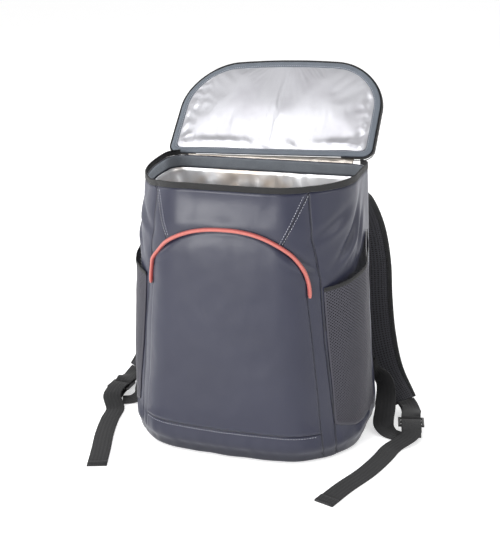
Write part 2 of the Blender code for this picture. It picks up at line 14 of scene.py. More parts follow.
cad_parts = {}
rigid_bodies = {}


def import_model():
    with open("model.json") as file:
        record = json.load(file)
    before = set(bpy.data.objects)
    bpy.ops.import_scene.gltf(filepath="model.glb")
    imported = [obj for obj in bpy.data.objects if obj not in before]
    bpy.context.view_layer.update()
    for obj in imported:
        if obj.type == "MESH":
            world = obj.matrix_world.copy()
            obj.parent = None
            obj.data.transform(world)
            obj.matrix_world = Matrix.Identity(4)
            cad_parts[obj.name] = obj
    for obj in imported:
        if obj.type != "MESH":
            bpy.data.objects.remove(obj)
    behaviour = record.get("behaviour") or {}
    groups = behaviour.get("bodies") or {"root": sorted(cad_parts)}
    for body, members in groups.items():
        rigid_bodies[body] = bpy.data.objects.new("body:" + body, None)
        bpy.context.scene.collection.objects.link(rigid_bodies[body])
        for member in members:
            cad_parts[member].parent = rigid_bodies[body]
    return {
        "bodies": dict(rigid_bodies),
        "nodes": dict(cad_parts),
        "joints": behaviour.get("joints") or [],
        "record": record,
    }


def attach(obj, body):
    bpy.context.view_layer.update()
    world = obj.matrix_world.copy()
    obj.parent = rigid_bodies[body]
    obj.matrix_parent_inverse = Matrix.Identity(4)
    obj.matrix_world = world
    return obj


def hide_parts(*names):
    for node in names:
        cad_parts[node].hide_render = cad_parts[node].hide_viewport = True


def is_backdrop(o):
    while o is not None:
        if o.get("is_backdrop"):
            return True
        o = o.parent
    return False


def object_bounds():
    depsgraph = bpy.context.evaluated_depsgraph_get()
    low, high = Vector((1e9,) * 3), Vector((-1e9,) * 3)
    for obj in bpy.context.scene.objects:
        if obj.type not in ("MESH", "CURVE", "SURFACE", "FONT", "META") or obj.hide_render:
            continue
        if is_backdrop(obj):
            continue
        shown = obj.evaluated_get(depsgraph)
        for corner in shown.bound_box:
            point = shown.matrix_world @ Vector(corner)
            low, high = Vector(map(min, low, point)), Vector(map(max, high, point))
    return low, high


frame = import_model()
CAD_BOX = [list(corner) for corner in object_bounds()]
bpy.ops.object.select_all(action="DESELECT")
print("frame nodes:", len(frame["nodes"]))

# %% [markdown]
# The photograph was taken from the bag's front right, a little above the rim, with a short
# telephoto lens. Azimuth, elevation and distance place the camera on a sphere round a point
# in the middle of the bag, and a small roll levels it as the photographer held it.

# %% Camera
VIEW_AZIMUTH = math.radians(19.03)
VIEW_ELEVATION = math.radians(19.63)
VIEW_ROLL = math.radians(-1.41)
VIEW_DISTANCE = 1.629
VIEW_TARGET = Vector((-0.0003, 0.0, 0.0153))
VIEW_HEIGHT = 0.22
LENS = 68.67

back = Vector((math.sin(VIEW_AZIMUTH) * math.cos(VIEW_ELEVATION),
               -math.cos(VIEW_AZIMUTH) * math.cos(VIEW_ELEVATION),
               math.sin(VIEW_ELEVATION)))
right = Vector((math.cos(VIEW_AZIMUTH), math.sin(VIEW_AZIMUTH), 0.0))
up = back.cross(right)
place = Vector((0.0, 0.0, VIEW_HEIGHT)) + back * VIEW_DISTANCE
place += right * VIEW_TARGET.x + up * VIEW_TARGET.z
turned_right = right * math.cos(VIEW_ROLL) + up * math.sin(VIEW_ROLL)
turned_up = up * math.cos(VIEW_ROLL) - right * math.sin(VIEW_ROLL)
bpy.ops.object.camera_add()
camera = bpy.context.object
camera.matrix_world = Matrix.Translation(place) @ Matrix(
    (turned_right, turned_up, back)).transposed().to_4x4()
camera.data.lens = LENS
camera.data.sensor_width = 36.0
bpy.context.scene.camera = camera
print("camera at", tuple(round(value, 3) for value in place))

# %% [markdown]
# The bag is shown as in a shop's catalogue: on white, under large soft lamps. A big lamp
# above and in front gives the sheen on the front cloth, one from each side keeps the edges
# clear, and a pale sky fills the shadows. Large lamps are what make foil look like foil.

# %% Floor and lights
def lamp(name, place, target, size, watts):
    """A square softbox that looks at a point."""
    bpy.ops.object.light_add(type="AREA", location=place)
    light = bpy.context.object
    light.name = name
    light.data.size = size
    light.data.energy = watts
    light.rotation_euler = (Vector(target) - Vector(place)).to_track_quat("-Z", "Y").to_euler()
    return light


lamp("key_lamp", (-0.9, -1.2, 3.0), (0.0, 0.0, 0.35), 1.6, 34.0)
lamp("front_lamp", (-0.95, -2.4, 0.95), (0.0, 0.0, 0.36), 0.9, 44.0)
lamp("right_lamp", (2.4, -0.6, 1.5), (0.0, 0.0, 0.25), 1.2, 13.0)
lamp("left_lamp", (-2.5, -0.2, 1.4), (0.0, 0.0, 0.25), 1.2, 12.0)
lamp("back_lamp", (0.3, 2.3, 2.4), (0.0, 0.0, 0.35), 1.5, 26.0)

# %% [markdown]
# Colours are written as the hex values that a colour picker shows. Blender works in linear
# light, so one function turns a hex value into linear numbers, and one more adds a shader
# node with its settings and links. All the finishes below are built from these two.

# %% Colour and node helpers
def linear(code):
    """A hex colour as linear red, green, blue and alpha."""
    values = [int(code[i:i + 2], 16) / 255 for i in (1, 3, 5)]
    return (*[v / 12.92 if v <= 0.04045 else ((v + 0.055) / 1.055) ** 2.4 for v in values], 1.0)


def add_node(tree, kind, settings=None, **links):
    """One node of a material, with settings on it and links or values into its sockets."""
    made = tree.nodes.new(kind)
    for key, value in (settings or {}).items():
        setattr(made, key, value)
    for key, value in links.items():
        name = key.replace("_", " ")
        socket = made.inputs[int(key[1:])] if key[0] == "i" and key[1:].isdigit() else \
            made.inputs[name]
        if isinstance(value, bpy.types.NodeSocket):
            tree.links.new(value, socket)
        else:
            socket.default_value = value
    return made


def new_finish(name, colour, roughness):
    """A material with its Principled shader, ready for a pattern."""
    made = bpy.data.materials.new(name)
    made.use_nodes = True
    shader = made.node_tree.nodes["Principled BSDF"]
    shader.inputs["Base Color"].default_value = linear(colour)
    shader.inputs["Roughness"].default_value = roughness
    return made, made.node_tree, shader


# %% [markdown]
# The bag stands on white paper in a white room. The room is brightest at eye level, where it
# melts into the paper, and dimmer overhead, so that foil and coated cloth have something
# darker to mirror between the lamps.

# %% Room and floor
ROOM_LOW, ROOM_HIGH = 1.05, 0.38
world = bpy.data.worlds.new("pale_studio")
world.use_nodes = True
bpy.context.scene.world = world
tree = world.node_tree
direction = add_node(tree, "ShaderNodeSeparateXYZ",
                     Vector=add_node(tree, "ShaderNodeTexCoord").outputs["Generated"])
level = add_node(tree, "ShaderNodeMapRange", {"interpolation_type": "SMOOTHSTEP"},
                 i0=direction.outputs["Z"], i1=0.10, i2=0.75, i3=ROOM_LOW, i4=ROOM_HIGH)
tree.links.new(level.outputs[0], tree.nodes["Background"].inputs["Strength"])
tree.nodes["Background"].inputs["Color"].default_value = (1.0, 1.0, 1.0, 1.0)
bpy.context.scene.view_settings.view_transform = "Standard"

bpy.ops.mesh.primitive_plane_add(size=30.0, location=(0.0, 0.0, -0.0004))
floor = bpy.context.object
floor.name = "studio_floor"
floor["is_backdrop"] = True
floor_finish, tree, shader = new_finish("white_paper_sweep", "#f4f4f4", 0.9)
shader.inputs["Emission Color"].default_value = (1.0, 1.0, 1.0, 1.0)
shader.inputs["Emission Strength"].default_value = 0.50
floor.data.materials.append(floor_finish)

# %% [markdown]
# The body of the bag is a cup of cloth. Its plan has a gently bowed front, wide front
# corners and tight back ones, and it changes a little from base to rim. A short table of
# sections holds that shape, as shares of the body's height, width and depth, and two
# functions read it: one gives the plan at a height, the other a point on the wall.

# %% The wall that everything is sewn to
BODY_HEIGHT = 0.400
BODY_WIDTH = 0.368
BODY_DEPTH = 0.206
# Columns: height, half width, front, back, bow, front round, back round
BODY_SECTIONS = np.array((
    (0.000, 0.466, 0.500, 0.410, 0.087, 0.440, 0.150),
    (0.010, 0.486, 0.532, 0.436, 0.092, 0.455, 0.165),
    (0.032, 0.499, 0.547, 0.450, 0.097, 0.461, 0.170),
    (0.120, 0.495, 0.541, 0.452, 0.096, 0.461, 0.170),
    (0.300, 0.480, 0.515, 0.459, 0.088, 0.456, 0.165),
    (0.500, 0.465, 0.486, 0.466, 0.080, 0.451, 0.160),
    (0.680, 0.456, 0.466, 0.476, 0.077, 0.447, 0.155),
    (0.850, 0.450, 0.442, 0.486, 0.073, 0.447, 0.148),
    (1.000, 0.441, 0.413, 0.500, 0.068, 0.447, 0.146),
))
SCALES = np.array((BODY_WIDTH,) + (BODY_DEPTH,) * 5)


def section(height):
    """Half width, front, back, bow and the two corner radii at a height, in metres."""
    level = np.clip(height / BODY_HEIGHT, 0.0, 1.0)
    table = BODY_SECTIONS
    return np.array([np.interp(level, table[:, 0], table[:, i]) for i in range(1, 7)]) * SCALES


def arc(centre, radius, start, end, steps):
    """Points of an arc, angles in degrees, without the last one."""
    angles = np.radians(np.linspace(start, end, steps, endpoint=False))
    return [(centre[0] + radius * math.cos(a), centre[1] + radius * math.sin(a)) for a in angles]


def half_plan(height, inset=0.0):
    """The plan from the front's middle round the +X side to the back's middle."""
    half, front, back, bow, front_round, back_round = section(height)
    half, front, back = half - inset, front - inset, back - inset
    front_round, back_round = front_round - inset, back_round - inset
    start, low, high = half - front_round, front_round - front, back - back_round
    points = [(x, -front) for x in np.linspace(0.0, start, 20, endpoint=False)]
    points += arc((start, low), front_round, -90, 0, 32)
    points += [(half, y) for y in np.linspace(low, high, 10, endpoint=False)]
    points += arc((half - back_round, high), back_round, 0, 90, 16)
    points += [(x, back) for x in np.linspace(half - back_round, 0.0, 10)]
    plan = np.array(points)
    forward = np.clip(-plan[:, 1] / front, 0.0, 1.0)
    plan[:, 1] -= bow * forward ** 2 * (1 - (plan[:, 0] / half) ** 2)
    return plan


WALL_CURVES = {}


def wall_curve(height, inset=0.0):
    """The half plan at a height with the length along it and the outward direction."""
    key = (round(height, 5), round(inset, 5))
    if key not in WALL_CURVES:
        plan = half_plan(height, inset)
        lengths = np.concatenate(([0.0], np.cumsum(np.linalg.norm(np.diff(plan, axis=0), axis=1))))
        run = np.gradient(plan, lengths, axis=0)
        run[0] = run[-1] * (-1, 0)
        run /= np.linalg.norm(run, axis=1)[:, None]
        WALL_CURVES[key] = (lengths, plan, np.stack((run[:, 1], -run[:, 0]), axis=1))
    return WALL_CURVES[key]


def half_girth(height):
    """The length from the front's middle to the back's middle at a height."""
    return wall_curve(height)[0][-1]


def on_wall(around, height, out=0.0, inset=0.0):
    """A point at a share of the half girth, negative to -X, and a distance off the wall."""
    lengths, plan, away = wall_curve(height, inset)
    at = abs(around) * lengths[-1]
    x, y = (np.interp(at, lengths, plan[:, i]) for i in (0, 1))
    nx, ny = (np.interp(at, lengths, away[:, i]) for i in (0, 1))
    slump = math.exp(-((around + 0.35) / 0.12) ** 2) * np.clip(height / 0.1 - 3.0, 0, 1) ** 2
    out -= 0.0050 * slump
    return Vector((math.copysign(1.0, around) * (x + nx * out), y + ny * out,
                   height - 0.0085 * slump))


print("half girth at the base, mid and rim:", [round(half_girth(z), 3) for z in (0.01, 0.2, 0.4)])

# %% [markdown]
# Cloth pieces start as a grid primitive. Each of its points is then moved, as with a sculpt
# brush, to a place that a function gives for its two grid coordinates. The grid's own UV map
# is scaled to metres, so that a weave has its real thread spacing everywhere on the piece.


def apply_modifiers(piece):
    """Apply the piece's modifiers in order."""
    bpy.ops.object.select_all(action="DESELECT")
    bpy.context.view_layer.objects.active = piece
    piece.select_set(True)
    for modifier in list(piece.modifiers):
        bpy.ops.object.modifier_apply(modifier=modifier.name)


def delete_faces(piece, chosen, inset=0.0):
    """Delete the faces marked in a list, or only their middles if an inset is given."""
    bpy.ops.object.select_all(action="DESELECT")
    bpy.context.view_layer.objects.active = piece
    piece.select_set(True)
    bpy.context.tool_settings.mesh_select_mode = (False, False, True)
    piece.data.polygons.foreach_set("select", chosen)
    bpy.ops.object.mode_set(mode="EDIT")
    if inset:
        bpy.ops.mesh.inset(thickness=inset, use_individual=True)
    bpy.ops.mesh.delete(type="FACE")
    bpy.ops.object.mode_set(mode="OBJECT")
    bpy.context.tool_settings.mesh_select_mode = (True, False, False)


def cloth_grid(name, across, up, size, place, close=False):
    """A grid of across by up faces whose points go to place(u, v), with UVs in metres."""
    bpy.ops.object.select_all(action="DESELECT")
    bpy.ops.mesh.primitive_grid_add(x_subdivisions=across, y_subdivisions=up, size=1.0,
                                    location=(0.5, 0.5, 0.0))
    piece = bpy.context.object
    piece.name = name
    bpy.ops.object.transform_apply(location=True)
    layer = piece.data.uv_layers.active.data
    for corner in layer:
        corner.uv = (corner.uv[0] * size[0], corner.uv[1] * size[1])
    for vert in piece.data.vertices:
        vert.co = place(min(max(vert.co.x, 0.0), 1.0), min(max(vert.co.y, 0.0), 1.0))
    if close:
        bpy.ops.object.mode_set(mode="EDIT")
        bpy.ops.mesh.select_all(action="SELECT")
        bpy.ops.mesh.remove_doubles(threshold=0.00005)
        bpy.ops.object.mode_set(mode="OBJECT")
    bpy.ops.object.shade_smooth()
    return piece


def thicken(piece, wall, offset=-1.0, soften=0.0):
    """Give a cloth its thickness, with soft edges if asked."""
    solid = piece.modifiers.new("thickness", "SOLIDIFY")
    solid.thickness = wall
    solid.offset = offset
    if soften:
        bevel = piece.modifiers.new("soft edge", "BEVEL")
        bevel.width = soften
        bevel.segments = 2
        bevel.limit_method = "ANGLE"
        bevel.angle_limit = math.radians(60)
    apply_modifiers(piece)
    return piece


def finish_piece(piece, finish, node=None):
    """Dress a piece, let it ride on the body and hide the frame node it stands for."""
    piece.data.materials.clear()
    piece.data.materials.append(finish)
    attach(piece, "root")
    if node:
        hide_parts(*([node] if isinstance(node, str) else node))
    return piece


def wave(point, size, seed=0.0):
    """Smooth noise from -1 to 1 whose bumps are about the given size."""
    return noise.noise(Vector(point) / size + Vector((seed, seed * 0.7, -seed)))

# %% [markdown]
# The outer cloth is polyester with a rubbery coat on its inside, a finish sold for dry bags
# and cooler bags. It is matt, dark slate grey, and leans to blue violet. Its weave is so
# fine that it only breaks up the highlight, and handling leaves soft dents a few centimetres
# long. Both are bumps here: the weave comes from the UV map, which is in metres, and the
# dents from noise on object coordinates. A seam is stored on the mesh as the distance to it,
# and the shader lowers the cloth along it and paints shade into the groove. The cloth is also
# painted darker near the floor and where the side pockets' netting covers it: painted shade.

# %% Coated cloth
WEAVE_PITCH = 0.0011      # the real threads are 0.3 mm apart; drawn coarser so that they show


def weave_height(tree, coords, pitch):
    """A plain weave: two crossing waves of the given pitch, multiplied."""
    turn = 2 * math.pi / pitch
    parts = add_node(tree, "ShaderNodeSeparateXYZ", Vector=coords)
    waves = []
    for axis in ("X", "Y"):
        scaled = add_node(tree, "ShaderNodeMath", {"operation": "MULTIPLY"},
                          i0=parts.outputs[axis], i1=turn)
        waves.append(add_node(tree, "ShaderNodeMath", {"operation": "SINE"},
                              i0=scaled.outputs[0]))
    return add_node(tree, "ShaderNodeMath", {"operation": "MULTIPLY"},
                    i0=waves[0].outputs[0], i1=waves[1].outputs[0]).outputs[0]


def seam_distance(tree):
    """How far a point is from the nearest of the three seams whose distances the mesh holds."""
    stored = add_node(tree, "ShaderNodeAttribute", {"attribute_name": "seams"})
    parts = add_node(tree, "ShaderNodeSeparateXYZ", Vector=stored.outputs["Vector"])
    apart = [add_node(tree, "ShaderNodeMath", {"operation": "ABSOLUTE"},
                      i0=parts.outputs[axis]).outputs[0] for axis in ("X", "Y", "Z")]
    first = add_node(tree, "ShaderNodeMath", {"operation": "MINIMUM"}, i0=apart[0], i1=apart[1])
    return add_node(tree, "ShaderNodeMath", {"operation": "MINIMUM"},
                    i0=first.outputs[0], i1=apart[2]).outputs[0]


def coated_cloth(name, colour, dark, light, seams=True):
    """Matt coated polyester with a fine weave, soft dents and seam grooves; with seams, also painted
    shade in the grooves, near the floor and behind the netting.
    """
    made, tree, shader = new_finish(name, colour, 0.50)
    uv = add_node(tree, "ShaderNodeUVMap").outputs["UV"]
    object_coords = add_node(tree, "ShaderNodeTexCoord").outputs["Object"]
    blotch = add_node(tree, "ShaderNodeTexNoise", Vector=object_coords, Scale=9.0, Detail=3.0)
    tone = add_node(tree, "ShaderNodeMix", {"data_type": "RGBA"}, i0=blotch.outputs["Fac"],
                    i6=linear(dark), i7=linear(light))
    colour_out = tone.outputs[2]
    height = weave_height(tree, uv, WEAVE_PITCH)
    fine = add_node(tree, "ShaderNodeBump", Strength=0.16, Distance=0.0001, Height=height)
    dents = add_node(tree, "ShaderNodeTexNoise", Vector=object_coords, Scale=22.0, Detail=2.0,
                     Roughness=0.4)
    soft = add_node(tree, "ShaderNodeBump", Strength=0.30, Distance=0.004,
                    Height=dents.outputs["Fac"], Normal=fine.outputs["Normal"])
    normal = soft.outputs["Normal"]
    if seams:
        near = seam_distance(tree)
        groove = add_node(tree, "ShaderNodeMapRange", {"interpolation_type": "SMOOTHSTEP"},
                          i0=near, i1=0.0002, i2=0.0024, i3=0.0, i4=1.0)
        cut = add_node(tree, "ShaderNodeBump", Strength=0.9, Distance=0.0022,
                       Height=groove.outputs[0], Normal=normal)
        normal = cut.outputs["Normal"]
        # Painted shade in each seam's groove.
        shade = add_node(tree, "ShaderNodeMapRange", {"interpolation_type": "SMOOTHSTEP"},
                         i0=near, i1=0.0, i2=0.0013, i3=0.30, i4=1.0)
        darker = add_node(tree, "ShaderNodeMix", {"data_type": "RGBA", "blend_type": "MULTIPLY"},
                          i0=1.0, i6=colour_out, i7=shade.outputs[0])
        colour_out = darker.outputs[2]
        # Painted shade near the floor: the cloth is painted darker over its lowest three centimetres.
        level = add_node(tree, "ShaderNodeSeparateXYZ", Vector=object_coords).outputs["Z"]
        floor_shade = add_node(tree, "ShaderNodeMapRange", {"interpolation_type": "SMOOTHSTEP"},
                          i0=level, i1=0.004, i2=0.034, i3=0.45, i4=1.0)
        # Painted shade where the side pockets' netting covers the cloth.
        behind = add_node(tree, "ShaderNodeAttribute", {"attribute_name": "netting_shade_mask"})
        dim = add_node(tree, "ShaderNodeMapRange", i0=behind.outputs["Fac"], i1=0.0, i2=1.0,
                       i3=1.0, i4=0.22)
        shaded = add_node(tree, "ShaderNodeMath", {"operation": "MULTIPLY"},
                          i0=floor_shade.outputs[0], i1=dim.outputs[0])
        floor_and_netting_shade = add_node(tree, "ShaderNodeMix", {"data_type": "RGBA", "blend_type": "MULTIPLY"},
                         i0=1.0, i6=colour_out, i7=shaded.outputs[0])
        colour_out = floor_and_netting_shade.outputs[2]
    tree.links.new(colour_out, shader.inputs["Base Color"])
    tree.links.new(normal, shader.inputs["Normal"])
    rough = add_node(tree, "ShaderNodeMapRange", i0=blotch.outputs["Fac"], i1=0.3, i2=0.7,
                     i3=0.34, i4=0.42)
    tree.links.new(rough.outputs[0], shader.inputs["Roughness"])
    shader.inputs["Specular IOR Level"].default_value = 0.50
    shader.inputs["Sheen Weight"].default_value = 0.12
    shader.inputs["Sheen Roughness"].default_value = 0.45
    shader.inputs["Sheen Tint"].default_value = linear("#c4c8dc")
    return made


shell_cloth = coated_cloth("coated_polyester_slate", "#1f2134", "#1c1e30", "#242639")

# %% [markdown]
# A soft bag is never as smooth as its pattern. One function says how far the cloth stands off
# the ideal wall at each place: broad waves, a crease just above the floor where the base
# rolls under with small puckers, a dip along each long seam, and ripples under the zip. Every
# piece that is sewn to the body uses the same function, so the pieces lie on one another.

# %% Drape of the wall
SIDE_SEAM = {   # height and length from the front's middle
    1: ((0.0, 0.175), (0.058, 0.169), (0.102, 0.161), (0.179, 0.150), (0.251, 0.143),
        (0.274, 0.141), (0.306, 0.134), (0.336, 0.126), (0.400, 0.121)),
    -1: ((0.0, 0.166), (0.058, 0.158), (0.102, 0.154), (0.187, 0.149), (0.257, 0.138),
         (0.274, 0.136), (0.306, 0.129), (0.336, 0.122), (0.400, 0.117)),
}
PANEL_SEAM = {
    1: ((0.0, 0.151), (0.055, 0.145), (0.113, 0.138), (0.197, 0.128), (0.253, 0.1205)),
    -1: ((0.0, 0.151), (0.055, 0.140), (0.113, 0.133), (0.197, 0.129), (0.253, 0.1235)),
}
TOP_SEAM = {
    1: ((0.320, 0.079), (0.326, 0.082), (0.365, 0.100), (0.394, 0.118), (0.400, 0.121)),
    -1: ((0.320, 0.087), (0.327, 0.091), (0.361, 0.104), (0.388, 0.116), (0.400, 0.122)),
}
POCKET_FRONT = ((0.14, 0.327), (0.66, 0.300))
POCKET_BACK = 0.590
CALM_BACK = 0.12
POCKET_BOTTOM = ((0.0, 0.140), (0.3, 0.105), (1.0, 0.080))
POCKET_TOP = ((0.0, 0.660), (0.5, 0.698), (0.8, 0.735), (1.0, 0.785))
BACK_SEAM_AROUND = 0.705
PANEL_BOTTOM = 0.047
ARCH_SPRING = 0.253
ARCH_RISE = 0.092
ARCH_SQUARENESS = 2.15


def along(table, height):
    """Read a two-column table at a height."""
    return float(np.interp(height, [row[0] for row in table], [row[1] for row in table]))


def bell(value, width):
    """1 at zero, falling to nothing over a few widths."""
    return math.exp(-(value / width) ** 2)


# Columns: length, height, slope, width and depth of each soft crease beside the seams
CREASES = (
    (0.112, 0.306, -0.55, 0.0050, 0.0036),
    (0.190, 0.318, 0.75, 0.0060, 0.0044),
    (0.212, 0.345, 0.95, 0.0055, 0.0038),
    (0.160, 0.352, 0.50, 0.0070, 0.0030),
    (0.236, 0.320, 1.05, 0.0050, 0.0034),
)


def drape(around, height):
    """How far the cloth stands off the ideal wall, in metres."""
    girth = half_girth(height)
    length = around * girth
    side = 1 if around >= 0 else -1
    apart = abs(length) - along(SIDE_SEAM[side], height)
    calm = min(1.0, (1.0 - abs(around)) / CALM_BACK)   # both edges meet at the back
    off = 0.0016 * calm * wave((length, height, 0.0), 0.085, 3.1)
    off += 0.0006 * calm * wave((length * 1.3, height, 0.5), 0.030, 7.7)
    off -= 0.0011 * bell(apart, 0.0035) + 0.0009 * bell(apart, 0.013)
    floor_roll = bell(height - 0.013, 0.006)
    pucker = calm * wave((length, 0.0, 1.5), 0.014, 1.3)
    off -= floor_roll * (0.0042 + 0.0026 * pucker)
    off += 0.0016 * pucker * bell(height - 0.026, 0.012)
    off += 0.0020 * calm * wave((length, 0.0, 6.5), 0.032, 4.3) * bell(height, 0.012)
    rim = bell(height - BODY_HEIGHT, 0.022)
    off += rim * 0.0010 * calm * wave((length, 0.0, 2.5), 0.024, 5.2)
    front = bell(length, 0.115)
    off -= 0.0040 * front * bell(height - 0.388, 0.022)
    off += 0.0020 * front * bell(height - 0.352, 0.010)
    for start, rise, slope, width, depth in CREASES:
        lean = (length * side - start) * math.sin(slope) - (height - rise) * math.cos(slope)
        along_it = (length * side - start) * math.cos(slope) + (height - rise) * math.sin(slope)
        off -= depth * bell(lean, width) * bell(along_it, 0.032)
        off += 0.7 * depth * bell(lean - 1.9 * width, width * 1.1) * bell(along_it, 0.032)
    return off


def skin(around, height, out=0.0):
    """A point of the draped wall, a distance off the cloth."""
    return on_wall(around, height, out + drape(around, height))


def store_vectors(piece, name, values):
    """Keep one vector for each point of a piece, for its material to read."""
    layer = piece.data.attributes.new(name, "FLOAT_VECTOR", "POINT")
    layer.data.foreach_set("vector", np.array(values, dtype=np.float32).ravel())


def shell_seams(around, height):
    """Signed distances to the side seam, to the base panel's seam and to the upper seams."""
    girth = half_girth(height)
    length, side = abs(around) * girth, 1 if around >= 0 else -1
    base = min(PANEL_BOTTOM - height, along(PANEL_SEAM[side], height) - length)
    back = BACK_SEAM_AROUND * girth - length
    upper = min(length - along(TOP_SEAM[side], height), back) if height > 0.32 else back
    return length - along(SIDE_SEAM[side], height), base, upper


print("drape at the front's middle:", round(drape(0.0, 0.2) * 1000, 2), "mm")

# %% [markdown]
# The shell is a cup: a base that rests on the floor and a wall. A grid is wrapped round the
# plan, its first rows spread over the base, and its two side edges are merged at the middle
# of the back. Solidify then gives the cloth its two millimetres.

# %% Outer shell
SHELL_ACROSS, SHELL_UP, BASE_ROWS = ((240, 112, 12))


def shell_place(u, v):
    """Point of the shell: base rows first, then the wall from the floor to the rim."""
    around = 2 * u - 1
    row = round(v * SHELL_UP)
    if row < BASE_ROWS:
        share = row / BASE_ROWS
        edge = on_wall(around, 0.0, drape(around, 0.0))
        centre = Vector((0.0, -0.008, 0.0))
        point = centre + (Vector((edge.x, edge.y, 0.0)) - centre) * share
        point.z = 0.0015 * (1 - share ** 4)
        return point
    climb = (row - BASE_ROWS) / (SHELL_UP - BASE_ROWS)
    height = BODY_HEIGHT * climb ** 1.15
    return skin(around, height)


shell = cloth_grid("outer_cloth", SHELL_ACROSS, SHELL_UP, (1.03, 0.50), shell_place)
seams = []
for j in range(SHELL_UP + 1):
    climb = max(0.0, (j - BASE_ROWS) / (SHELL_UP - BASE_ROWS))
    height = BODY_HEIGHT * climb ** 1.15
    for i in range(SHELL_ACROSS + 1):
        seams.append(shell_seams(2 * i / SHELL_ACROSS - 1, height) if j >= BASE_ROWS
                     else (0.1, 0.1, 0.1))
store_vectors(shell, "seams", seams)
# Painted shade: mark the shell where the side pockets' netting covers it, so that its material paints
# it darker there.
behind = []
for j in range(SHELL_UP + 1):
    climb = max(0.0, (j - BASE_ROWS) / (SHELL_UP - BASE_ROWS))
    level = climb ** 1.15
    for i in range(SHELL_ACROSS + 1):
        around = abs(2 * i / SHELL_ACROSS - 1)
        front = along(POCKET_FRONT, level)
        across = (around - front) / (POCKET_BACK - front)
        inside = 0.0 < across < 1.0 and along(POCKET_BOTTOM, across) < level < along(
            POCKET_TOP, across) - 0.01
        behind.append((1.0 if inside else 0.0,) * 3)
store_vectors(shell, "netting_shade_mask", behind)


def tidy(piece, merge=0.00005):
    """Merge what coincides and turn every face outwards."""
    bpy.ops.object.select_all(action="DESELECT")
    bpy.context.view_layer.objects.active = piece
    piece.select_set(True)
    bpy.ops.object.mode_set(mode="EDIT")
    bpy.ops.mesh.select_all(action="SELECT")
    bpy.ops.mesh.remove_doubles(threshold=merge)
    bpy.ops.mesh.normals_make_consistent(inside=False)
    bpy.ops.object.mode_set(mode="OBJECT")


tidy(shell)
thicken(shell, 0.002)
finish_piece(shell, shell_cloth, "outer_shell")
print("outer cloth faces:", len(shell.data.polygons))

# %% [markdown]
# The front pocket is a raised panel. Its sides run down from the piping, a little apart
# towards the base, and its top is a flat arch. The grid's columns fan out under the arch, and
# the border is rolled in towards the shell, as cloth is where it turns into a seam.

# %% Front pocket panel
def arch_point(turn, grow=0.0):
    """Length from the front's middle and height of the arch, at a turn of -90 to 90 degrees."""
    share = math.sin(math.radians(turn))
    rise = max(0.0, 1 - abs(share) ** ARCH_SQUARENESS) ** (1 / ARCH_SQUARENESS)
    side = 1 if share >= 0 else -1
    edge = along(PANEL_SEAM[side], ARCH_SPRING) + grow
    return share * edge, ARCH_SPRING + (ARCH_RISE + grow) * rise


def crowd(share):
    """Move rows towards both ends of a span, where the cloth bends most."""
    return 0.45 * share + 0.55 * (0.5 - 0.5 * math.cos(math.pi * share))


def panel_parts(u, v):
    """Length, height, and the distances to the side edge, to the bottom and to the arch."""
    turn = -90 + 180 * u
    length, top = arch_point(turn)
    height = PANEL_BOTTOM + (top - PANEL_BOTTOM) * crowd(v)
    side = 1 if u >= 0.5 else -1
    edge = along(PANEL_SEAM[side], height)
    share = math.sin(math.radians(turn))
    return share * edge, height, edge * (1 - abs(share)), height - PANEL_BOTTOM, top - height


def panel_place(u, v):
    """Point of the panel's outer face."""
    length, height, to_side, to_bottom, to_arch = panel_parts(u, v)
    border = min(to_side, to_bottom, to_arch)
    out = 0.0048 - 0.0026 * bell(border, 0.016) - 0.0020 * bell(border, 0.0028)
    pull = wave((length, height, 4.0), 0.016, 2.0) * bell(border - 0.007, 0.008)
    out += 0.0003 * pull
    return skin(length / half_girth(height) or 1e-6, height, out)


PANEL_ACROSS, PANEL_UP = ((120, 100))
panel = cloth_grid("front_pocket_cloth", PANEL_ACROSS, PANEL_UP, (0.27, 0.30), panel_place)
seams = []
for j in range(PANEL_UP + 1):
    for i in range(PANEL_ACROSS + 1):
        parts = panel_parts(i / PANEL_ACROSS, j / PANEL_UP)
        seams.append((parts[2], parts[3], 0.1))
store_vectors(panel, "seams", seams)
thicken(panel, 0.0012)
finish_piece(panel, shell_cloth, "front_pocket_panel")
print("panel faces:", len(panel.data.polygons))

# %% [markdown]
# Straps, cords and tapes are all swept: a section is carried along a line, and each of its
# stations has a centre, a sideways direction and a face direction. The grid primitive is
# rolled into a tube, its long seam merged, and its two ends filled.

# %% Sweeping
def smooth(rows, steps):
    """A smooth curve through the rows of a table, every column alike, without overshoot."""
    rows = np.array(rows, dtype=float)
    spans = np.linalg.norm(np.diff(rows[:, :3], axis=0), axis=1)
    slopes = np.diff(rows, axis=0) / spans[:, None]
    middle = [(slopes[i - 1] * spans[i] + slopes[i] * spans[i - 1]) / (spans[i - 1] + spans[i])
              for i in range(1, len(spans))]
    tangents = [slopes[0], *middle, slopes[-1]]
    out = []
    for i, span in enumerate(spans):
        for t in np.arange(steps) / steps:
            out.append((2 * t ** 3 - 3 * t ** 2 + 1) * rows[i]
                       + (t ** 3 - 2 * t ** 2 + t) * span * tangents[i]
                       + (3 * t ** 2 - 2 * t ** 3) * rows[i + 1]
                       + (t ** 3 - t ** 2) * span * tangents[i + 1])
    out.append(rows[-1])
    return np.array(out)


def stations_of(rows):
    """Centre, sideways and face directions and width at each row of x, y, z, face, width."""
    points = [Vector(row[:3]) for row in rows]
    found, travelled = [], 0.0
    for i, row in enumerate(rows):
        run = (points[min(i + 1, len(points) - 1)] - points[max(i - 1, 0)]).normalized()
        face = Vector(row[3:6])
        face = (face - run * face.dot(run)).normalized()
        if i:
            travelled += (points[i] - points[i - 1]).length
        found.append((points[i], run.cross(face), face, row[6] if len(row) > 6 else 1.0,
                      travelled))
    return found


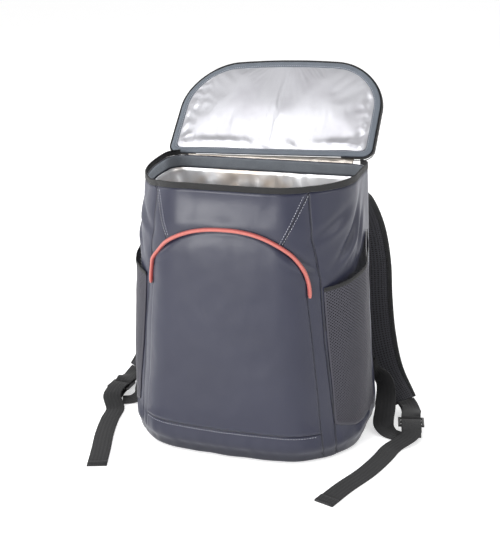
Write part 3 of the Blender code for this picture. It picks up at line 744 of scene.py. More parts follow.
def swept(name, stations, outline, girth, closed_ends=True):
    """Carry an outline along stations. outline(i) gives (sideways, faceways) in metres."""
    count = len(outline(0))

    def place(u, v):
        i = round(v * (len(stations) - 1))
        centre, side, face, width, travelled = stations[i]
        x, y = outline(i)[round(u * count) % count]
        return centre + side * x + face * y

    piece = cloth_grid(name, count, len(stations) - 1, (girth, stations[-1][4]), place)
    bpy.ops.object.mode_set(mode="EDIT")
    bpy.ops.mesh.select_all(action="SELECT")
    bpy.ops.mesh.remove_doubles(threshold=0.00001)
    if closed_ends:
        bpy.ops.mesh.select_all(action="DESELECT")
        bpy.ops.mesh.select_non_manifold()
        bpy.ops.mesh.fill_holes(sides=0)
    bpy.ops.mesh.select_all(action="SELECT")
    bpy.ops.mesh.normals_make_consistent(inside=False)
    bpy.ops.object.mode_set(mode="OBJECT")
    return piece


# %% [markdown]
# The arch is edged with piping: a cord wrapped in bright coral cloth and caught in the seam.
# A round section is swept along the arch, and its two ends sink into the side seams.

# %% Coral piping
PIPING_RADIUS = 0.0030
rows = []
for turn in np.linspace(-90, 90, 145):
    length, height = arch_point(turn, 0.0026)
    place = skin(length / half_girth(height) or 1e-6, height, 0.0029)
    off = place - skin(length / half_girth(height) or 1e-6, height, -0.002)
    rows.append((*place, *off.normalized(), 1.0))
piping_stations = stations_of(rows)


def piping_outline(i):
    """A circle that narrows to a tucked end."""
    end = min(i, len(piping_stations) - 1 - i) / (len(piping_stations) - 1)
    radius = PIPING_RADIUS * (1.0 - 0.40 * bell(end, 0.006))
    return [(radius * math.cos(2 * math.pi * k / 16), radius * math.sin(2 * math.pi * k / 16))
            for k in range(16)]


piping = swept("coral_piping", piping_stations, piping_outline, 0.020)
coral, tree, shader = new_finish("dyed_polyester_piping", "#ee7a6a", 0.55)
uv = add_node(tree, "ShaderNodeUVMap").outputs["UV"]
fine = add_node(tree, "ShaderNodeBump", Strength=0.35, Distance=0.0002,
                Height=weave_height(tree, uv, 0.0012))
fray = add_node(tree, "ShaderNodeTexNoise", Vector=uv, Scale=160.0, Detail=2.0)
tone = add_node(tree, "ShaderNodeMix", {"data_type": "RGBA"}, i0=fray.outputs["Fac"],
                i6=linear("#ad544b"), i7=linear("#bb6c62"))
# Painted shade: the piping is painted dark red along its two sides, where it sinks into the seam's
# groove.
turned = add_node(tree, "ShaderNodeMath", {"operation": "MULTIPLY"},
                  i0=add_node(tree, "ShaderNodeSeparateXYZ", Vector=uv).outputs["X"],
                  i1=2 * math.pi / 0.020)
crest = add_node(tree, "ShaderNodeMath", {"operation": "SINE"}, i0=turned.outputs[0])
painted_shade = add_node(tree, "ShaderNodeMapRange", i0=crest.outputs[0], i1=0.52, i2=0.96, i3=0.0, i4=1.0)
edged = add_node(tree, "ShaderNodeMix", {"data_type": "RGBA"}, i0=painted_shade.outputs[0],
                 i6=linear("#8f2c2a"), i7=tone.outputs[2])
tree.links.new(edged.outputs[2], shader.inputs["Base Color"])
tree.links.new(fine.outputs["Normal"], shader.inputs["Normal"])
shader.inputs["Sheen Weight"].default_value = 0.3
finish_piece(piping, coral, "arch_piping")
print("piping length:", round(piping_stations[-1][4], 3), "m")

# %% [markdown]
# Foil laminate lines the bag: a thin metallised film on foam. It mirrors the room softly, and
# it is wrinkled wherever it was folded for sewing. The wrinkles are made of ridged noise,
# whose creases are sharp while the cloth between them stays round, in the mesh where they are
# large and as a bump where they are small.

# %% Foil laminate
def foil_laminate(name, colour, painted_reflection_tint, crease_scale, strength, roughness=0.30, metal=0.92):
    """Metallised film with sharp creases; the second colour is a painted reflection, a tint laid on
    some patches.
    """
    made, tree, shader = new_finish(name, colour, roughness)
    coords = add_node(tree, "ShaderNodeTexCoord").outputs["Object"]
    ridges = add_node(tree, "ShaderNodeTexNoise", {"noise_type": "RIDGED_MULTIFRACTAL"},
                      Vector=coords, Scale=crease_scale, Detail=3.0, Roughness=0.45)
    large = add_node(tree, "ShaderNodeBump", Strength=strength, Distance=0.004,
                     Height=ridges.outputs["Fac"])
    grain = add_node(tree, "ShaderNodeTexNoise", Vector=coords, Scale=420.0, Detail=2.0)
    fine = add_node(tree, "ShaderNodeBump", Strength=0.10, Distance=0.0004,
                    Height=grain.outputs["Fac"], Normal=large.outputs["Normal"])
    # Painted reflection: noise patches take the second tint, as if mirroring something tinted.
    patch = add_node(tree, "ShaderNodeTexNoise", Vector=coords, Scale=14.0, Detail=3.0)
    share = add_node(tree, "ShaderNodeMapRange", i0=patch.outputs["Fac"], i1=0.50, i2=0.72,
                     i3=0.0, i4=1.0)
    tone = add_node(tree, "ShaderNodeMix", {"data_type": "RGBA"}, i0=share.outputs[0],
                    i6=linear(colour), i7=linear(painted_reflection_tint))
    tree.links.new(tone.outputs[2], shader.inputs["Base Color"])
    tree.links.new(fine.outputs["Normal"], shader.inputs["Normal"])
    shader.inputs["Metallic"].default_value = metal
    return made


liner_foil = foil_laminate("metallised_liner_film", "#e2e2e4", "#cbb9a5", 24.0, 0.60, 0.36, 0.72)


def crumple(length, height, depth=0.0):
    """Creased relief of the foil, from about -1 to 1."""
    folds = abs(wave((length, height * 0.30, depth), 0.045, 2.2))
    folds += 0.55 * abs(wave((length, height, depth), 0.026, 8.8))
    folds += 0.30 * abs(wave((length * 1.2, height * 0.9, depth), 0.012, 4.4))
    return 1.0 - 2.4 * folds


LINER_ACROSS, LINER_UP, LINER_BASE = ((230, 92, 22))
LINER_TOP = 0.3818


def liner_place(u, v):
    """Point of the foil's visible inner face: floor rows, then the wall."""
    around = 2 * u - 1
    row = round(v * LINER_UP)
    if row < LINER_BASE:
        share = row / LINER_BASE
        edge = on_wall(around, 0.012, inset=0.0078)
        centre = Vector((0.0, -0.006, 0.0))
        point = centre + (Vector((edge.x, edge.y, 0.0)) - centre) * share
        point.z = 0.0078 + 0.0014 * crumple(point.x, point.y, 3.0) * (1 - share ** 6)
        point.z += 0.004 * share ** 10
        return point
    climb = (row - LINER_BASE) / (LINER_UP - LINER_BASE)
    height = 0.0125 + (LINER_TOP - 0.0125) * climb
    wall = on_wall(around, height)
    relief = 0.0015 * crumple(wall.x, height, wall.y) * min(1.0, 12 * (1 - climb) + 0.25)
    hang = wave((wall.x + 0.35 * height, wall.y, 11.0), 0.020, 6.1)
    relief += 0.0055 * max(0.0, hang) * min(1.0, 8 * (1 - climb) + 0.3)
    return on_wall(around, height, min(0.0, drape(around, height)) - relief, inset=0.0073)


liner = cloth_grid("foil_lining", LINER_ACROSS, LINER_UP, (1.0, 0.5), liner_place)
tidy(liner)
bpy.ops.object.mode_set(mode="EDIT")
bpy.ops.mesh.select_all(action="SELECT")
bpy.ops.mesh.flip_normals()
bpy.ops.object.mode_set(mode="OBJECT")
thicken(liner, 0.0016)
finish_piece(liner, liner_foil, "foil_liner")
print("liner faces:", len(liner.data.polygons))

# %% [markdown]
# Thread shows as rows of short, light stitches. One stitch is a small ball pulled long and
# flattened by its pull on the cloth. It is modelled once, and its copies stand along a line
# that is given as points with the direction away from the cloth.

# %% Stitches
bpy.ops.object.select_all(action="DESELECT")
bpy.ops.mesh.primitive_ico_sphere_add(subdivisions=1, radius=0.5)
bpy.ops.object.mode_set(mode="EDIT")
bpy.ops.mesh.select_all(action="SELECT")
bpy.ops.transform.resize(value=(1.0, 0.36, 0.30))
bpy.ops.object.mode_set(mode="OBJECT")
stitch = bpy.context.object
STITCH_POINTS = np.array([tuple(vert.co) for vert in stitch.data.vertices])
STITCH_FACES = [tuple(face.vertices) for face in stitch.data.polygons]
bpy.data.objects.remove(stitch, do_unlink=True)


def copies(name, points, faces, frames):
    """One piece made of copies of a small shape, each set by a frame of four vectors."""
    all_points, all_faces = [], []
    for n, (origin, x, y, z) in enumerate(frames):
        turned = points @ np.array([tuple(x), tuple(y), tuple(z)]) + np.array(tuple(origin))
        all_points.append(turned)
        all_faces += [tuple(i + n * len(points) for i in face) for face in faces]
    mesh = bpy.data.meshes.new(name)
    mesh.from_pydata(np.concatenate(all_points).tolist(), [], all_faces)
    piece = bpy.data.objects.new(name, mesh)
    bpy.context.scene.collection.objects.link(piece)
    bpy.ops.object.select_all(action="DESELECT")
    bpy.context.view_layer.objects.active = piece
    piece.select_set(True)
    bpy.ops.object.shade_smooth()
    return piece


def stitch_frames(points, normals, pitch=0.0040, length=0.0029):
    """Frames for stitches along a line of points, evenly spaced."""
    points = [Vector(point) for point in points]
    spans = [0.0]
    for a, b in zip(points[:-1], points[1:]):
        spans.append(spans[-1] + (b - a).length)
    count = max(1, int(spans[-1] / pitch))
    frames = []
    for k in range(count):
        at = (k + 0.5) * spans[-1] / count
        i = min(max(int(np.searchsorted(spans, at)) - 1, 0), len(points) - 2)
        share = (at - spans[i]) / max(spans[i + 1] - spans[i], 1e-9)
        centre = points[i].lerp(points[i + 1], share)
        run = (points[i + 1] - points[i]).normalized()
        away = Vector(normals[i])
        away = (away - run * away.dot(run)).normalized()
        frames.append((centre, run * length, away.cross(run) * 0.0022, away * 0.0018))
    return frames


def wall_line(places, out):
    """Points and outward directions of a line on the draped wall, given by length and height."""
    points, normals = [], []
    for length, height in places:
        around = length / half_girth(height) or 1e-6
        point = skin(around, height, out)
        points.append(point)
        normals.append((point - skin(around, height, out - 0.003)).normalized())
    return points, normals


def between(start, end, count=24):
    """Places on a straight line in the flat pattern."""
    return [(start[0] + (end[0] - start[0]) * t, start[1] + (end[1] - start[1]) * t)
            for t in np.linspace(0, 1, count)]


thread, tree, shader = new_finish("polyester_thread_grey", "#b9bac3", 0.5)
twist = add_node(tree, "ShaderNodeTexWave", {"bands_direction": "DIAGONAL"},
                 Vector=add_node(tree, "ShaderNodeTexCoord").outputs["Object"], Scale=900.0)
tone = add_node(tree, "ShaderNodeMix", {"data_type": "RGBA"}, i0=twist.outputs["Fac"],
                i6=linear("#a4a5af"), i7=linear("#cfd0d8"))
tree.links.new(tone.outputs[2], shader.inputs["Base Color"])
shader.inputs["Sheen Weight"].default_value = 0.2
dark_thread, tree, shader = new_finish("polyester_thread_black", "#303034", 0.5)
twist = add_node(tree, "ShaderNodeTexWave", {"bands_direction": "DIAGONAL"},
                 Vector=add_node(tree, "ShaderNodeTexCoord").outputs["Object"], Scale=900.0)
tone = add_node(tree, "ShaderNodeMix", {"data_type": "RGBA"}, i0=twist.outputs["Fac"],
                i6=linear("#26262a"), i7=linear("#3f3f45"))
tree.links.new(tone.outputs[2], shader.inputs["Base Color"])

frames = []
for side in (1, -1):
    for foot_shift, head_shift in ((-0.0030, -0.0052), (0.0012, 0.0022)):
        low, high = ((0.082, 0.326), (0.118, 0.396)) if side > 0 else ((0.091, 0.327), (0.117, 0.396))
        line = between((side * (low[0] + foot_shift), low[1] + 0.004),
                       (side * (high[0] + head_shift), high[1]))
        frames += stitch_frames(*wall_line(line, 0.0002))
line = [(-along(PANEL_SEAM[-1], 0.043) + 0.004, 0.0430)]
line += [(x, 0.0428) for x in np.linspace(-0.134, 0.138, 60)]
frames += stitch_frames(*wall_line(line, 0.0003))
shell_stitches = copies("shell_topstitching", STITCH_POINTS, STITCH_FACES, frames)
finish_piece(shell_stitches, thread)
print("topstitches on the shell:", len(frames))

# %% [markdown]
# Inside the rim runs a facing of grey woven tape, and on the rim stands the zip: a black
# woven tape with a nylon coil along its free edge. The coil is a thin rod wound round and
# round, which reads as teeth. It is swept as a helix.

# %% Woven tape and zip finishes
def woven(name, colour, dark, light, pitch_x, pitch_y, strength=0.35, roughness=0.75,
          ribs=None, shade_from=None):
    """Woven tape or webbing: threads cross at the two pitches; ribs adds ridges along it,
    and shade_from is the y behind which the tape is painted darker: painted shade."""
    made, tree, shader = new_finish(name, colour, roughness)
    uv = add_node(tree, "ShaderNodeUVMap").outputs["UV"]
    scaled = add_node(tree, "ShaderNodeMapping", Vector=uv,
                      Scale=(0.0011 / pitch_x, 0.0011 / pitch_y, 1.0))
    height = weave_height(tree, scaled.outputs["Vector"], 0.0011)
    fine = add_node(tree, "ShaderNodeBump", Strength=strength, Distance=0.0004, Height=height)
    normal = fine.outputs["Normal"]
    if ribs:
        parts = add_node(tree, "ShaderNodeSeparateXYZ", Vector=uv)
        scaled = add_node(tree, "ShaderNodeMath", {"operation": "MULTIPLY"},
                          i0=parts.outputs["X"], i1=2 * math.pi / ribs)
        ridge = add_node(tree, "ShaderNodeMath", {"operation": "SINE"}, i0=scaled.outputs[0])
        wide = add_node(tree, "ShaderNodeBump", Strength=0.25, Distance=0.0004,
                        Height=ridge.outputs[0], Normal=normal)
        normal = wide.outputs["Normal"]
    level = add_node(tree, "ShaderNodeMapRange", i0=height, i1=-1.0, i2=1.0, i3=0.0, i4=1.0)
    fade = add_node(tree, "ShaderNodeTexNoise", Vector=uv, Scale=60.0, Detail=2.0)
    both = add_node(tree, "ShaderNodeMath", {"operation": "MULTIPLY_ADD"},
                    i0=fade.outputs["Fac"], i1=0.6, i2=-0.3)
    mixed = add_node(tree, "ShaderNodeMath", {"operation": "ADD", "use_clamp": True},
                     i0=level.outputs[0], i1=both.outputs[0])
    tone = add_node(tree, "ShaderNodeMix", {"data_type": "RGBA"}, i0=mixed.outputs[0],
                    i6=linear(dark), i7=linear(light))
    colour_out = tone.outputs[2]
    # Painted shade: the tape is painted darker behind that y.
    if shade_from is not None:
        coords = add_node(tree, "ShaderNodeTexCoord").outputs["Object"]
        behind = add_node(tree, "ShaderNodeMapRange", {"interpolation_type": "SMOOTHSTEP"},
                          i0=add_node(tree, "ShaderNodeSeparateXYZ", Vector=coords).outputs["Y"],
                          i1=shade_from, i2=shade_from + 0.045, i3=1.0, i4=0.42)
        painted_shade = add_node(tree, "ShaderNodeMix", {"data_type": "RGBA", "blend_type": "MULTIPLY"},
                        i0=1.0, i6=colour_out, i7=behind.outputs[0])
        colour_out = painted_shade.outputs[2]
    tree.links.new(colour_out, shader.inputs["Base Color"])
    tree.links.new(normal, shader.inputs["Normal"])
    shader.inputs["Sheen Weight"].default_value = 0.08
    return made


grey_tape = woven("woven_grey_tape", "#5f666f", "#535a63", "#6d747d", 0.0011, 0.0011)
zip_tape = woven("zip_tape_black", "#111113", "#0c0c0d", "#18181a", 0.0009, 0.0009)
coil_nylon, tree, shader = new_finish("nylon_coil_black", "#141416", 0.35)
gloss = add_node(tree, "ShaderNodeTexNoise", Scale=300.0, Detail=1.0,
                 Vector=add_node(tree, "ShaderNodeTexCoord").outputs["Object"])
rough = add_node(tree, "ShaderNodeMapRange", i0=gloss.outputs["Fac"], i1=0.3, i2=0.7, i3=0.28,
                 i4=0.45)
tree.links.new(rough.outputs[0], shader.inputs["Roughness"])

# %% Facing inside the rim
FACING_ACROSS = 260


def facing_place(u, v):
    """Point of the facing's inner face, with soft ripples along it."""
    around, height = 2 * u - 1, 0.3826 + 0.0168 * v
    wall = on_wall(around, height)
    ripple = 0.0007 * wave((wall.x, height, wall.y), 0.028, 4.0)
    return on_wall(around, height, min(0.0, drape(around, height)) - abs(ripple) - 0.0002,
                   inset=0.0034)


# Painted shade darkens the back of the rim facing.
facing_finish = woven("woven_rim_facing", "#8d949d", "#7c838c", "#a3aab3", 0.0011, 0.0011,
                      shade_from=0.050)
facing = cloth_grid("rim_facing_tape", FACING_ACROSS, 6, (1.0, 0.0168), facing_place)
tidy(facing)
bpy.ops.object.mode_set(mode="EDIT")
bpy.ops.mesh.select_all(action="SELECT")
bpy.ops.mesh.flip_normals()
bpy.ops.object.mode_set(mode="OBJECT")
thicken(facing, 0.0009)
finish_piece(facing, facing_finish, "rim_facing")


# %% Zip round the rim
ZIP_END = 0.685
ZIP_RISE = 0.009


def coil_piece(name, line, away, pitch=0.0016, radius=0.00105, wire=0.00045):
    """A nylon coil along a line of points; away(i) is a direction across the line."""
    points = [Vector(point) for point in line]
    spans = [0.0]
    for a, b in zip(points[:-1], points[1:]):
        spans.append(spans[-1] + (b - a).length)
    steps = int(spans[-1] / pitch) * 6
    rows = []
    for k in range(steps + 1):
        at = spans[-1] * k / steps
        i = min(max(int(np.searchsorted(spans, at)) - 1, 0), len(points) - 2)
        share = (at - spans[i]) / max(spans[i + 1] - spans[i], 1e-9)
        run = (points[i + 1] - points[i]).normalized()
        face = Vector(away[i])
        face = (face - run * face.dot(run)).normalized()
        side = run.cross(face)
        turn = 2 * math.pi * k / 6
        out = face * math.cos(turn) * radius + side * math.sin(turn) * radius * 0.7
        centre = points[i].lerp(points[i + 1], share) + out
        rows.append((*centre, *(out.normalized()), 1.0))
    square = [(wire, 0.0), (0.0, wire), (-wire, 0.0), (0.0, -wire)]
    return swept(name, stations_of(rows), lambda i: square, 0.002)


def rim_zip_place(u, v):
    """Point of the zip tape's outer face on the rim: upright, its foot tucked to the cloth."""
    around = ZIP_END * (2 * u - 1)
    length = around * half_girth(BODY_HEIGHT)
    sway = 0.0005 * wave((length, v * 0.01, 9.0), 0.030, 6.0)
    out = 0.0005 + drape(around, BODY_HEIGHT) * (1 - 0.5 * v) + sway * v
    point = on_wall(around, BODY_HEIGHT, out)
    point.z += 0.0004 + 0.0086 * v
    return point


rim_tape = cloth_grid("rim_zip_tape", 280, 8, (0.64, 0.009), rim_zip_place)
thicken(rim_tape, 0.0012)
finish_piece(rim_tape, zip_tape, "rim_zipper")
line, away = [], []
for around in np.linspace(-ZIP_END + 0.004, ZIP_END - 0.004, 200):
    top = on_wall(around, BODY_HEIGHT, drape(around, BODY_HEIGHT) * 0.5 - 0.0012)
    top.z += ZIP_RISE - 0.0008
    line.append(top)
    away.append(Vector((0, 0, 1)))
rim_coil = coil_piece("rim_zip_coil", line, away)
finish_piece(rim_coil, coil_nylon, "rim_zipper")
print("rim zip length:", round(sum((b - a).length for a, b in zip(line, line[1:])), 3), "m")

# %% [markdown]
# The side pockets are open netting, knitted so that its holes stand in diagonal rows. A grid
# is bulged off the side wall, every second face is inset and removed, and Solidify gives the
# yarn its body. The holes are 3 mm apart, near the real 2 mm, so that the piece stays light.

# %% Mesh side pockets
MESH_BULGE = 0.011


def pocket_point(side, across, up, lift=0.0):
    """A point of a pocket: across from its front seam, up from its bottom seam."""
    bottom, top = along(POCKET_BOTTOM, across), along(POCKET_TOP, across)
    height = (bottom + (top - bottom) * up) * BODY_HEIGHT
    front = along(POCKET_FRONT, height / BODY_HEIGHT)
    around = front + (POCKET_BACK - front) * across
    swell = max(0.0, math.sin(math.pi * across)) ** 0.7 * (1 - (1 - up) ** 3)
    sag = 0.0016 * wave((across * 0.16, height, side * 3.0), 0.05, 1.9)
    sag += 0.0012 * wave((across * 0.16, height * 0.4, side * 5.0), 0.018, 3.3) * up ** 2
    edge = min(1.0, 9 * across, 9 * (1 - across), 9 * up)
    bulge = MESH_BULGE if side > 0 else 0.6 * MESH_BULGE
    return skin(side * around, height, 0.0010 + (bulge + sag) * swell * (0.4 + 0.6 * edge)
                + lift)


netting, tree, shader = new_finish("knitted_polyester_mesh", "#3a3942", 0.8)
uv = add_node(tree, "ShaderNodeUVMap").outputs["UV"]
yarn = add_node(tree, "ShaderNodeTexNoise", Vector=uv, Scale=900.0, Detail=2.0)
fuzz = add_node(tree, "ShaderNodeBump", Strength=0.4, Distance=0.0003, Height=yarn.outputs["Fac"])
tone = add_node(tree, "ShaderNodeMix", {"data_type": "RGBA"}, i0=yarn.outputs["Fac"],
                i6=linear("#29282f"), i7=linear("#45444e"))
tree.links.new(tone.outputs[2], shader.inputs["Base Color"])
tree.links.new(fuzz.outputs["Normal"], shader.inputs["Normal"])
shader.inputs["Sheen Weight"].default_value = 0.1


def net_pocket(side, word):
    """One netting pocket and the bound edge of its mouth."""
    across, up = ((58, 96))

    def net_place(u, v):
        return pocket_point(side, u if side > 0 else 1 - u, v * 0.985)

    net = cloth_grid(f"netting_pocket_{word}", across, up, (0.15, 0.24), net_place)
    holes = [(n % across + n // across) % 2 == 0 and 0 < n % across < across - 1
             and 1 < n // across < up - 1 for n in range(len(net.data.polygons))]
    delete_faces(net, holes, inset=0.00034)
    solid = net.modifiers.new("yarn", "SOLIDIFY")
    solid.thickness = 0.0007
    solid.offset = 0.0
    apply_modifiers(net)
    finish_piece(net, netting, f"side_pocket_{word}")

    def binding_place(u, v):
        a = u if side > 0 else 1 - u
        over = math.pi * (v * 1.0)
        return pocket_point(side, a, 1.0, 0.0) + Vector((0, 0, -0.0064 * (1 - v) - 0.0004)) + \
            (pocket_point(side, a, 1.0, 0.0016) - pocket_point(side, a, 1.0, 0.0)) * \
            (0.55 + 0.45 * math.sin(over))

    binding = cloth_grid(f"mouth_binding_{word}", 60, 6, (0.15, 0.008), binding_place)
    thicken(binding, 0.0009, soften=0.0003)
    finish_piece(binding, zip_tape, f"pocket_binding_{word}")
    return net


webbing_black = woven("woven_webbing_black", "#161618", "#0e0e0f", "#212123", 0.0016, 0.0011,
                      strength=0.4, ribs=0.0031)
for side, word in ((1, "right"), (-1, "left")):
    made = net_pocket(side, word)
    print("netting", word, "faces:", len(made.data.polygons))

# %% [markdown]
# The lid stands open and leans back. Its pieces are modelled flat, x across and y up the lid,
# and one matrix sets them at the hinge. The padded faces are puffed by cloth simulation: a
# flat sheet a little larger than its frame is pinned round its edge, and air pushes it out,
# which gives the full middle and the short wrinkles that run in from the edge.

# %% Lid outline and place
LID_LEAN = math.radians(48.0)
LID_TILT = math.radians(-1.5)
LID_HALF = 0.441 * BODY_WIDTH + 0.0047
LID_DEPTH = (0.413 + 0.068 + 0.500) * BODY_DEPTH - 0.028
LID_TOP_ROUND, LID_HINGE_ROUND, LID_CROWN = 0.083, 0.017, 0.0145
LID_EDGE = 0.0020
LID_TAPE = 0.011
LID = Matrix.Translation((-0.005, 0.500 * BODY_DEPTH + 0.006, BODY_HEIGHT + 0.004)) @ \
    Matrix.Rotation(LID_TILT, 4, "Y") @ Matrix.Rotation(math.pi / 2 - LID_LEAN, 4, "X")


def lid_outline(inset=0.0, fine=6):
    """The lid's outline from the hinge side's middle, round by +X and back."""
    half, top = LID_HALF - inset, LID_DEPTH - inset
    low = max(LID_HINGE_ROUND - inset, LID_HINGE_ROUND / 6)
    high = max(LID_TOP_ROUND - inset, LID_TOP_ROUND / 6)
    right = [(x, inset) for x in np.linspace(0.0, half - low, 8 * fine, endpoint=False)]
    right += arc((half - low, inset + low), low, -90, 0, 3 * fine)
    right += [(half, y) for y in np.linspace(inset + low, top - high, 3 * fine, endpoint=False)]
    right += arc((half - high, top - high), high, 0, 90, 7 * fine)
    right += [(x, top) for x in np.linspace(half - high, 0.0, 5 * fine)]
    points = right + [(-x, y) for x, y in reversed(right[1:-1])]
    return [(x, y + LID_CROWN * (y / LID_DEPTH) ** 2 * (1 - (x / half) ** 2)) for x, y in points]


def lid_row(inset, y):
    """Half the lid's width at a distance up the lid, inside an inset outline."""
    half, top = LID_HALF - inset, LID_DEPTH - inset
    low = max(LID_HINGE_ROUND - inset, 0.008)
    high = max(LID_TOP_ROUND - inset, 0.008)
    if y < inset + low:
        return half - low + math.sqrt(max(0.0, low ** 2 - (inset + low - y) ** 2))
    if y > top - high:
        return half - high + math.sqrt(max(0.0, high ** 2 - (y - top + high) ** 2))
    return half


def lid_near(x, y, inset):
    """How far a point of the flat lid is from the nearest edge of an inset outline."""
    flat = y - LID_CROWN * (y / LID_DEPTH) ** 2 * (1 - (x / LID_HALF) ** 2)
    side = lid_row(inset, min(max(flat, inset), LID_DEPTH - inset)) - abs(x)
    return max(0.0, min(side, flat - inset, LID_DEPTH - inset - flat))


def lid_flat(inset):
    """A mapping from grid coordinates to the flat lid inside an inset outline."""
    def place(u, v):
        share = 0.35 * v + 0.65 * (0.5 - 0.5 * math.cos(math.pi * v))
        y = inset + (LID_DEPTH - 2 * inset) * share
        x = (2 * u - 1) * lid_row(inset, y)
        lift = LID_CROWN * (y / LID_DEPTH) ** 2 * (1 - (x / LID_HALF) ** 2)
        return Vector((x, y + lift, 0.0))
    return place


def puffed_sheet(name, inset, across, up, extra, pressure, cap):
    """A sheet pinned round the lid's outline and blown up towards +z by a simulation."""
    piece = cloth_grid(name, across, up, (2 * LID_HALF, LID_DEPTH), lid_flat(inset))
    rim = [i for i in range(len(piece.data.vertices))
           if i % (across + 1) in (0, across) or i // (across + 1) in (0, up)]
    rest = np.array([tuple(vert.co) for vert in piece.data.vertices])
    group = piece.vertex_groups.new(name="sewn")
    group.add(rim, 1.0, "REPLACE")
    for index in range(len(piece.data.vertices)):
        piece.data.vertices[index].co.z += 0.0004 * wave(rest[index], 0.02, 5.0) + 0.0006
    cloth = piece.modifiers.new("cloth", "CLOTH")
    settings = cloth.settings
    settings.quality = 6
    settings.mass = 0.25
    settings.tension_stiffness = 40
    settings.compression_stiffness = 40
    settings.shear_stiffness = 18
    settings.bending_stiffness = 0.6
    settings.vertex_group_mass = "sewn"
    settings.shrink_min = -extra
    settings.use_pressure = True
    settings.uniform_pressure_force = pressure
    settings.effector_weights.gravity = 0.0
    cloth.collision_settings.use_collision = False
    for step in range(1, 21):
        bpy.context.scene.frame_set(step)
    shaped = piece.evaluated_get(bpy.context.evaluated_depsgraph_get())
    moved = np.array([tuple(vert.co) for vert in shaped.data.vertices])
    piece.modifiers.clear()
    bpy.context.scene.frame_set(1)
    shift = moved - rest
    if shift[:, 2].mean() < 0:
        shift[:, 2] *= -1
    size = np.linalg.norm(shift, axis=1)
    shift *= (np.minimum(size, cap) / np.maximum(size, 1e-9))[:, None]
    for vert, point in zip(piece.data.vertices, rest + shift):
        vert.co = Vector(point)
    print(name, "puffed to", round(float(shift[:, 2].max()) * 1000, 1), "mm")
    return piece


def close_pad(piece, depth, edge_drop):
    """Fold the sheet's border down, close its flat back, and set the pad on the lid."""
    bpy.ops.object.select_all(action="DESELECT")
    bpy.context.view_layer.objects.active = piece
    piece.select_set(True)
    bpy.ops.object.mode_set(mode="EDIT")
    bpy.ops.mesh.select_mode(type="VERT")
    bpy.ops.mesh.select_all(action="DESELECT")
    bpy.ops.mesh.select_non_manifold()
    bpy.ops.mesh.extrude_region_move(TRANSFORM_OT_translate={"value": (0, 0, -edge_drop)})
    bpy.ops.mesh.edge_face_add()
    bpy.ops.mesh.select_all(action="SELECT")
    bpy.ops.mesh.normals_make_consistent(inside=False)
    bpy.ops.object.mode_set(mode="OBJECT")
    bpy.ops.object.shade_smooth_by_angle(angle=math.radians(50))
    for vert in piece.data.vertices:
        vert.co.z += depth
    return piece


def set_on_lid(piece, turned=False):
    """Carry a flat piece to its place on the open lid; turned pieces face the outer side."""
    if turned:
        for vert in piece.data.vertices:
            vert.co.z = -vert.co.z
        bpy.ops.object.select_all(action="DESELECT")
        bpy.context.view_layer.objects.active = piece
        piece.select_set(True)
        bpy.ops.object.mode_set(mode="EDIT")
        bpy.ops.mesh.select_all(action="SELECT")
        bpy.ops.mesh.normals_make_consistent(inside=False)
        bpy.ops.object.mode_set(mode="OBJECT")
    for vert in piece.data.vertices:
        vert.co = LID @ vert.co
    return piece


# %% Foil inside the lid
FOIL_INSET = LID_EDGE + LID_TAPE - 0.0008
foil_across, foil_up = ((150, 78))
lid_foil = puffed_sheet("lid_foil_lining", FOIL_INSET, foil_across, foil_up, 0.002, 5.0, 0.0085)
for vert in lid_foil.data.vertices:
    x, y = vert.co.x, vert.co.y
    near = lid_near(x, y, FOIL_INSET)
    if near > 0.0006:
        sides = bell(x + LID_HALF - 0.020, 0.016) + 0.7 * bell(x - LID_HALF + 0.020, 0.012)
        low = bell(y - 0.016, 0.014)
        slant = wave((x + 0.6 * y, y * 0.25, 0.0), 0.017, 9.1)
        patch = abs(wave((x * 1.3, y, 1.0), 0.021, 4.7))
        vert.co.z += 0.0030 * sides * (0.30 - patch) * min(1.0, near / 0.006)
        vert.co.z += 0.0022 * low * slant * min(1.0, near / 0.006)
        mounds = bell(x + 0.085, 0.045) + bell(x - 0.115, 0.035)
        vert.co.z += 0.0040 * mounds * bell(y - FOIL_INSET - 0.010, 0.008)
        vert.co.z = max(vert.co.z, 0.0004)
close_pad(lid_foil, 0.0009, 0.0006)
set_on_lid(lid_foil)
lid_film = foil_laminate("metallised_lid_film", "#cdcdd2", "#bcbbc1", 12.0, 0.06, 0.44, 0.88)
finish_piece(lid_foil, lid_film, "lid_foil_panel")

# %% Padded cover of the lid
cover = puffed_sheet("lid_padded_cover", LID_EDGE, foil_across, foil_up, 0.010, 6.0, 0.0105)
close_pad(cover, 0.0006, 0.0002)
set_on_lid(cover, turned=True)
lid_cloth = coated_cloth("coated_polyester_lid", "#1f2134", "#1c1e30", "#242639",
                         seams=False)
finish_piece(cover, lid_cloth, "lid_cover")

# %% [markdown]
# A ring of grey woven tape binds the foil's edge to the cover. It is a strip swept round the
# outline, slightly arched, with a row of stitches near its inner edge. The other half of the
# zip stands on the lid's edge, and its coil points to the rim that it closes on.

# %% Tape ring and zip of the lid
RING_STEPS = len(lid_outline())


def ring_place(u, v):
    """Point of the tape ring's upper face."""
    k = round(u * RING_STEPS) % RING_STEPS
    outer, inner = lid_outline(LID_EDGE)[k], lid_outline(LID_EDGE + LID_TAPE)[k]
    x = outer[0] + (inner[0] - outer[0]) * v
    y = outer[1] + (inner[1] - outer[1]) * v
    lift = 0.0011 + 0.0010 * math.sin(math.pi * min(v * 1.1, 1.0))
    lift += 0.0004 * wave((x, y, v), 0.020, 2.5)
    return LID @ Vector((x, y, lift))


OUTLINES = {}
plain_outline = lid_outline


def lid_outline(inset=0.0, fine=6):
    """The outline, kept once it has been worked out."""
    key = (round(inset, 6), fine)
    if key not in OUTLINES:
        OUTLINES[key] = plain_outline(inset, fine)
    return OUTLINES[key]


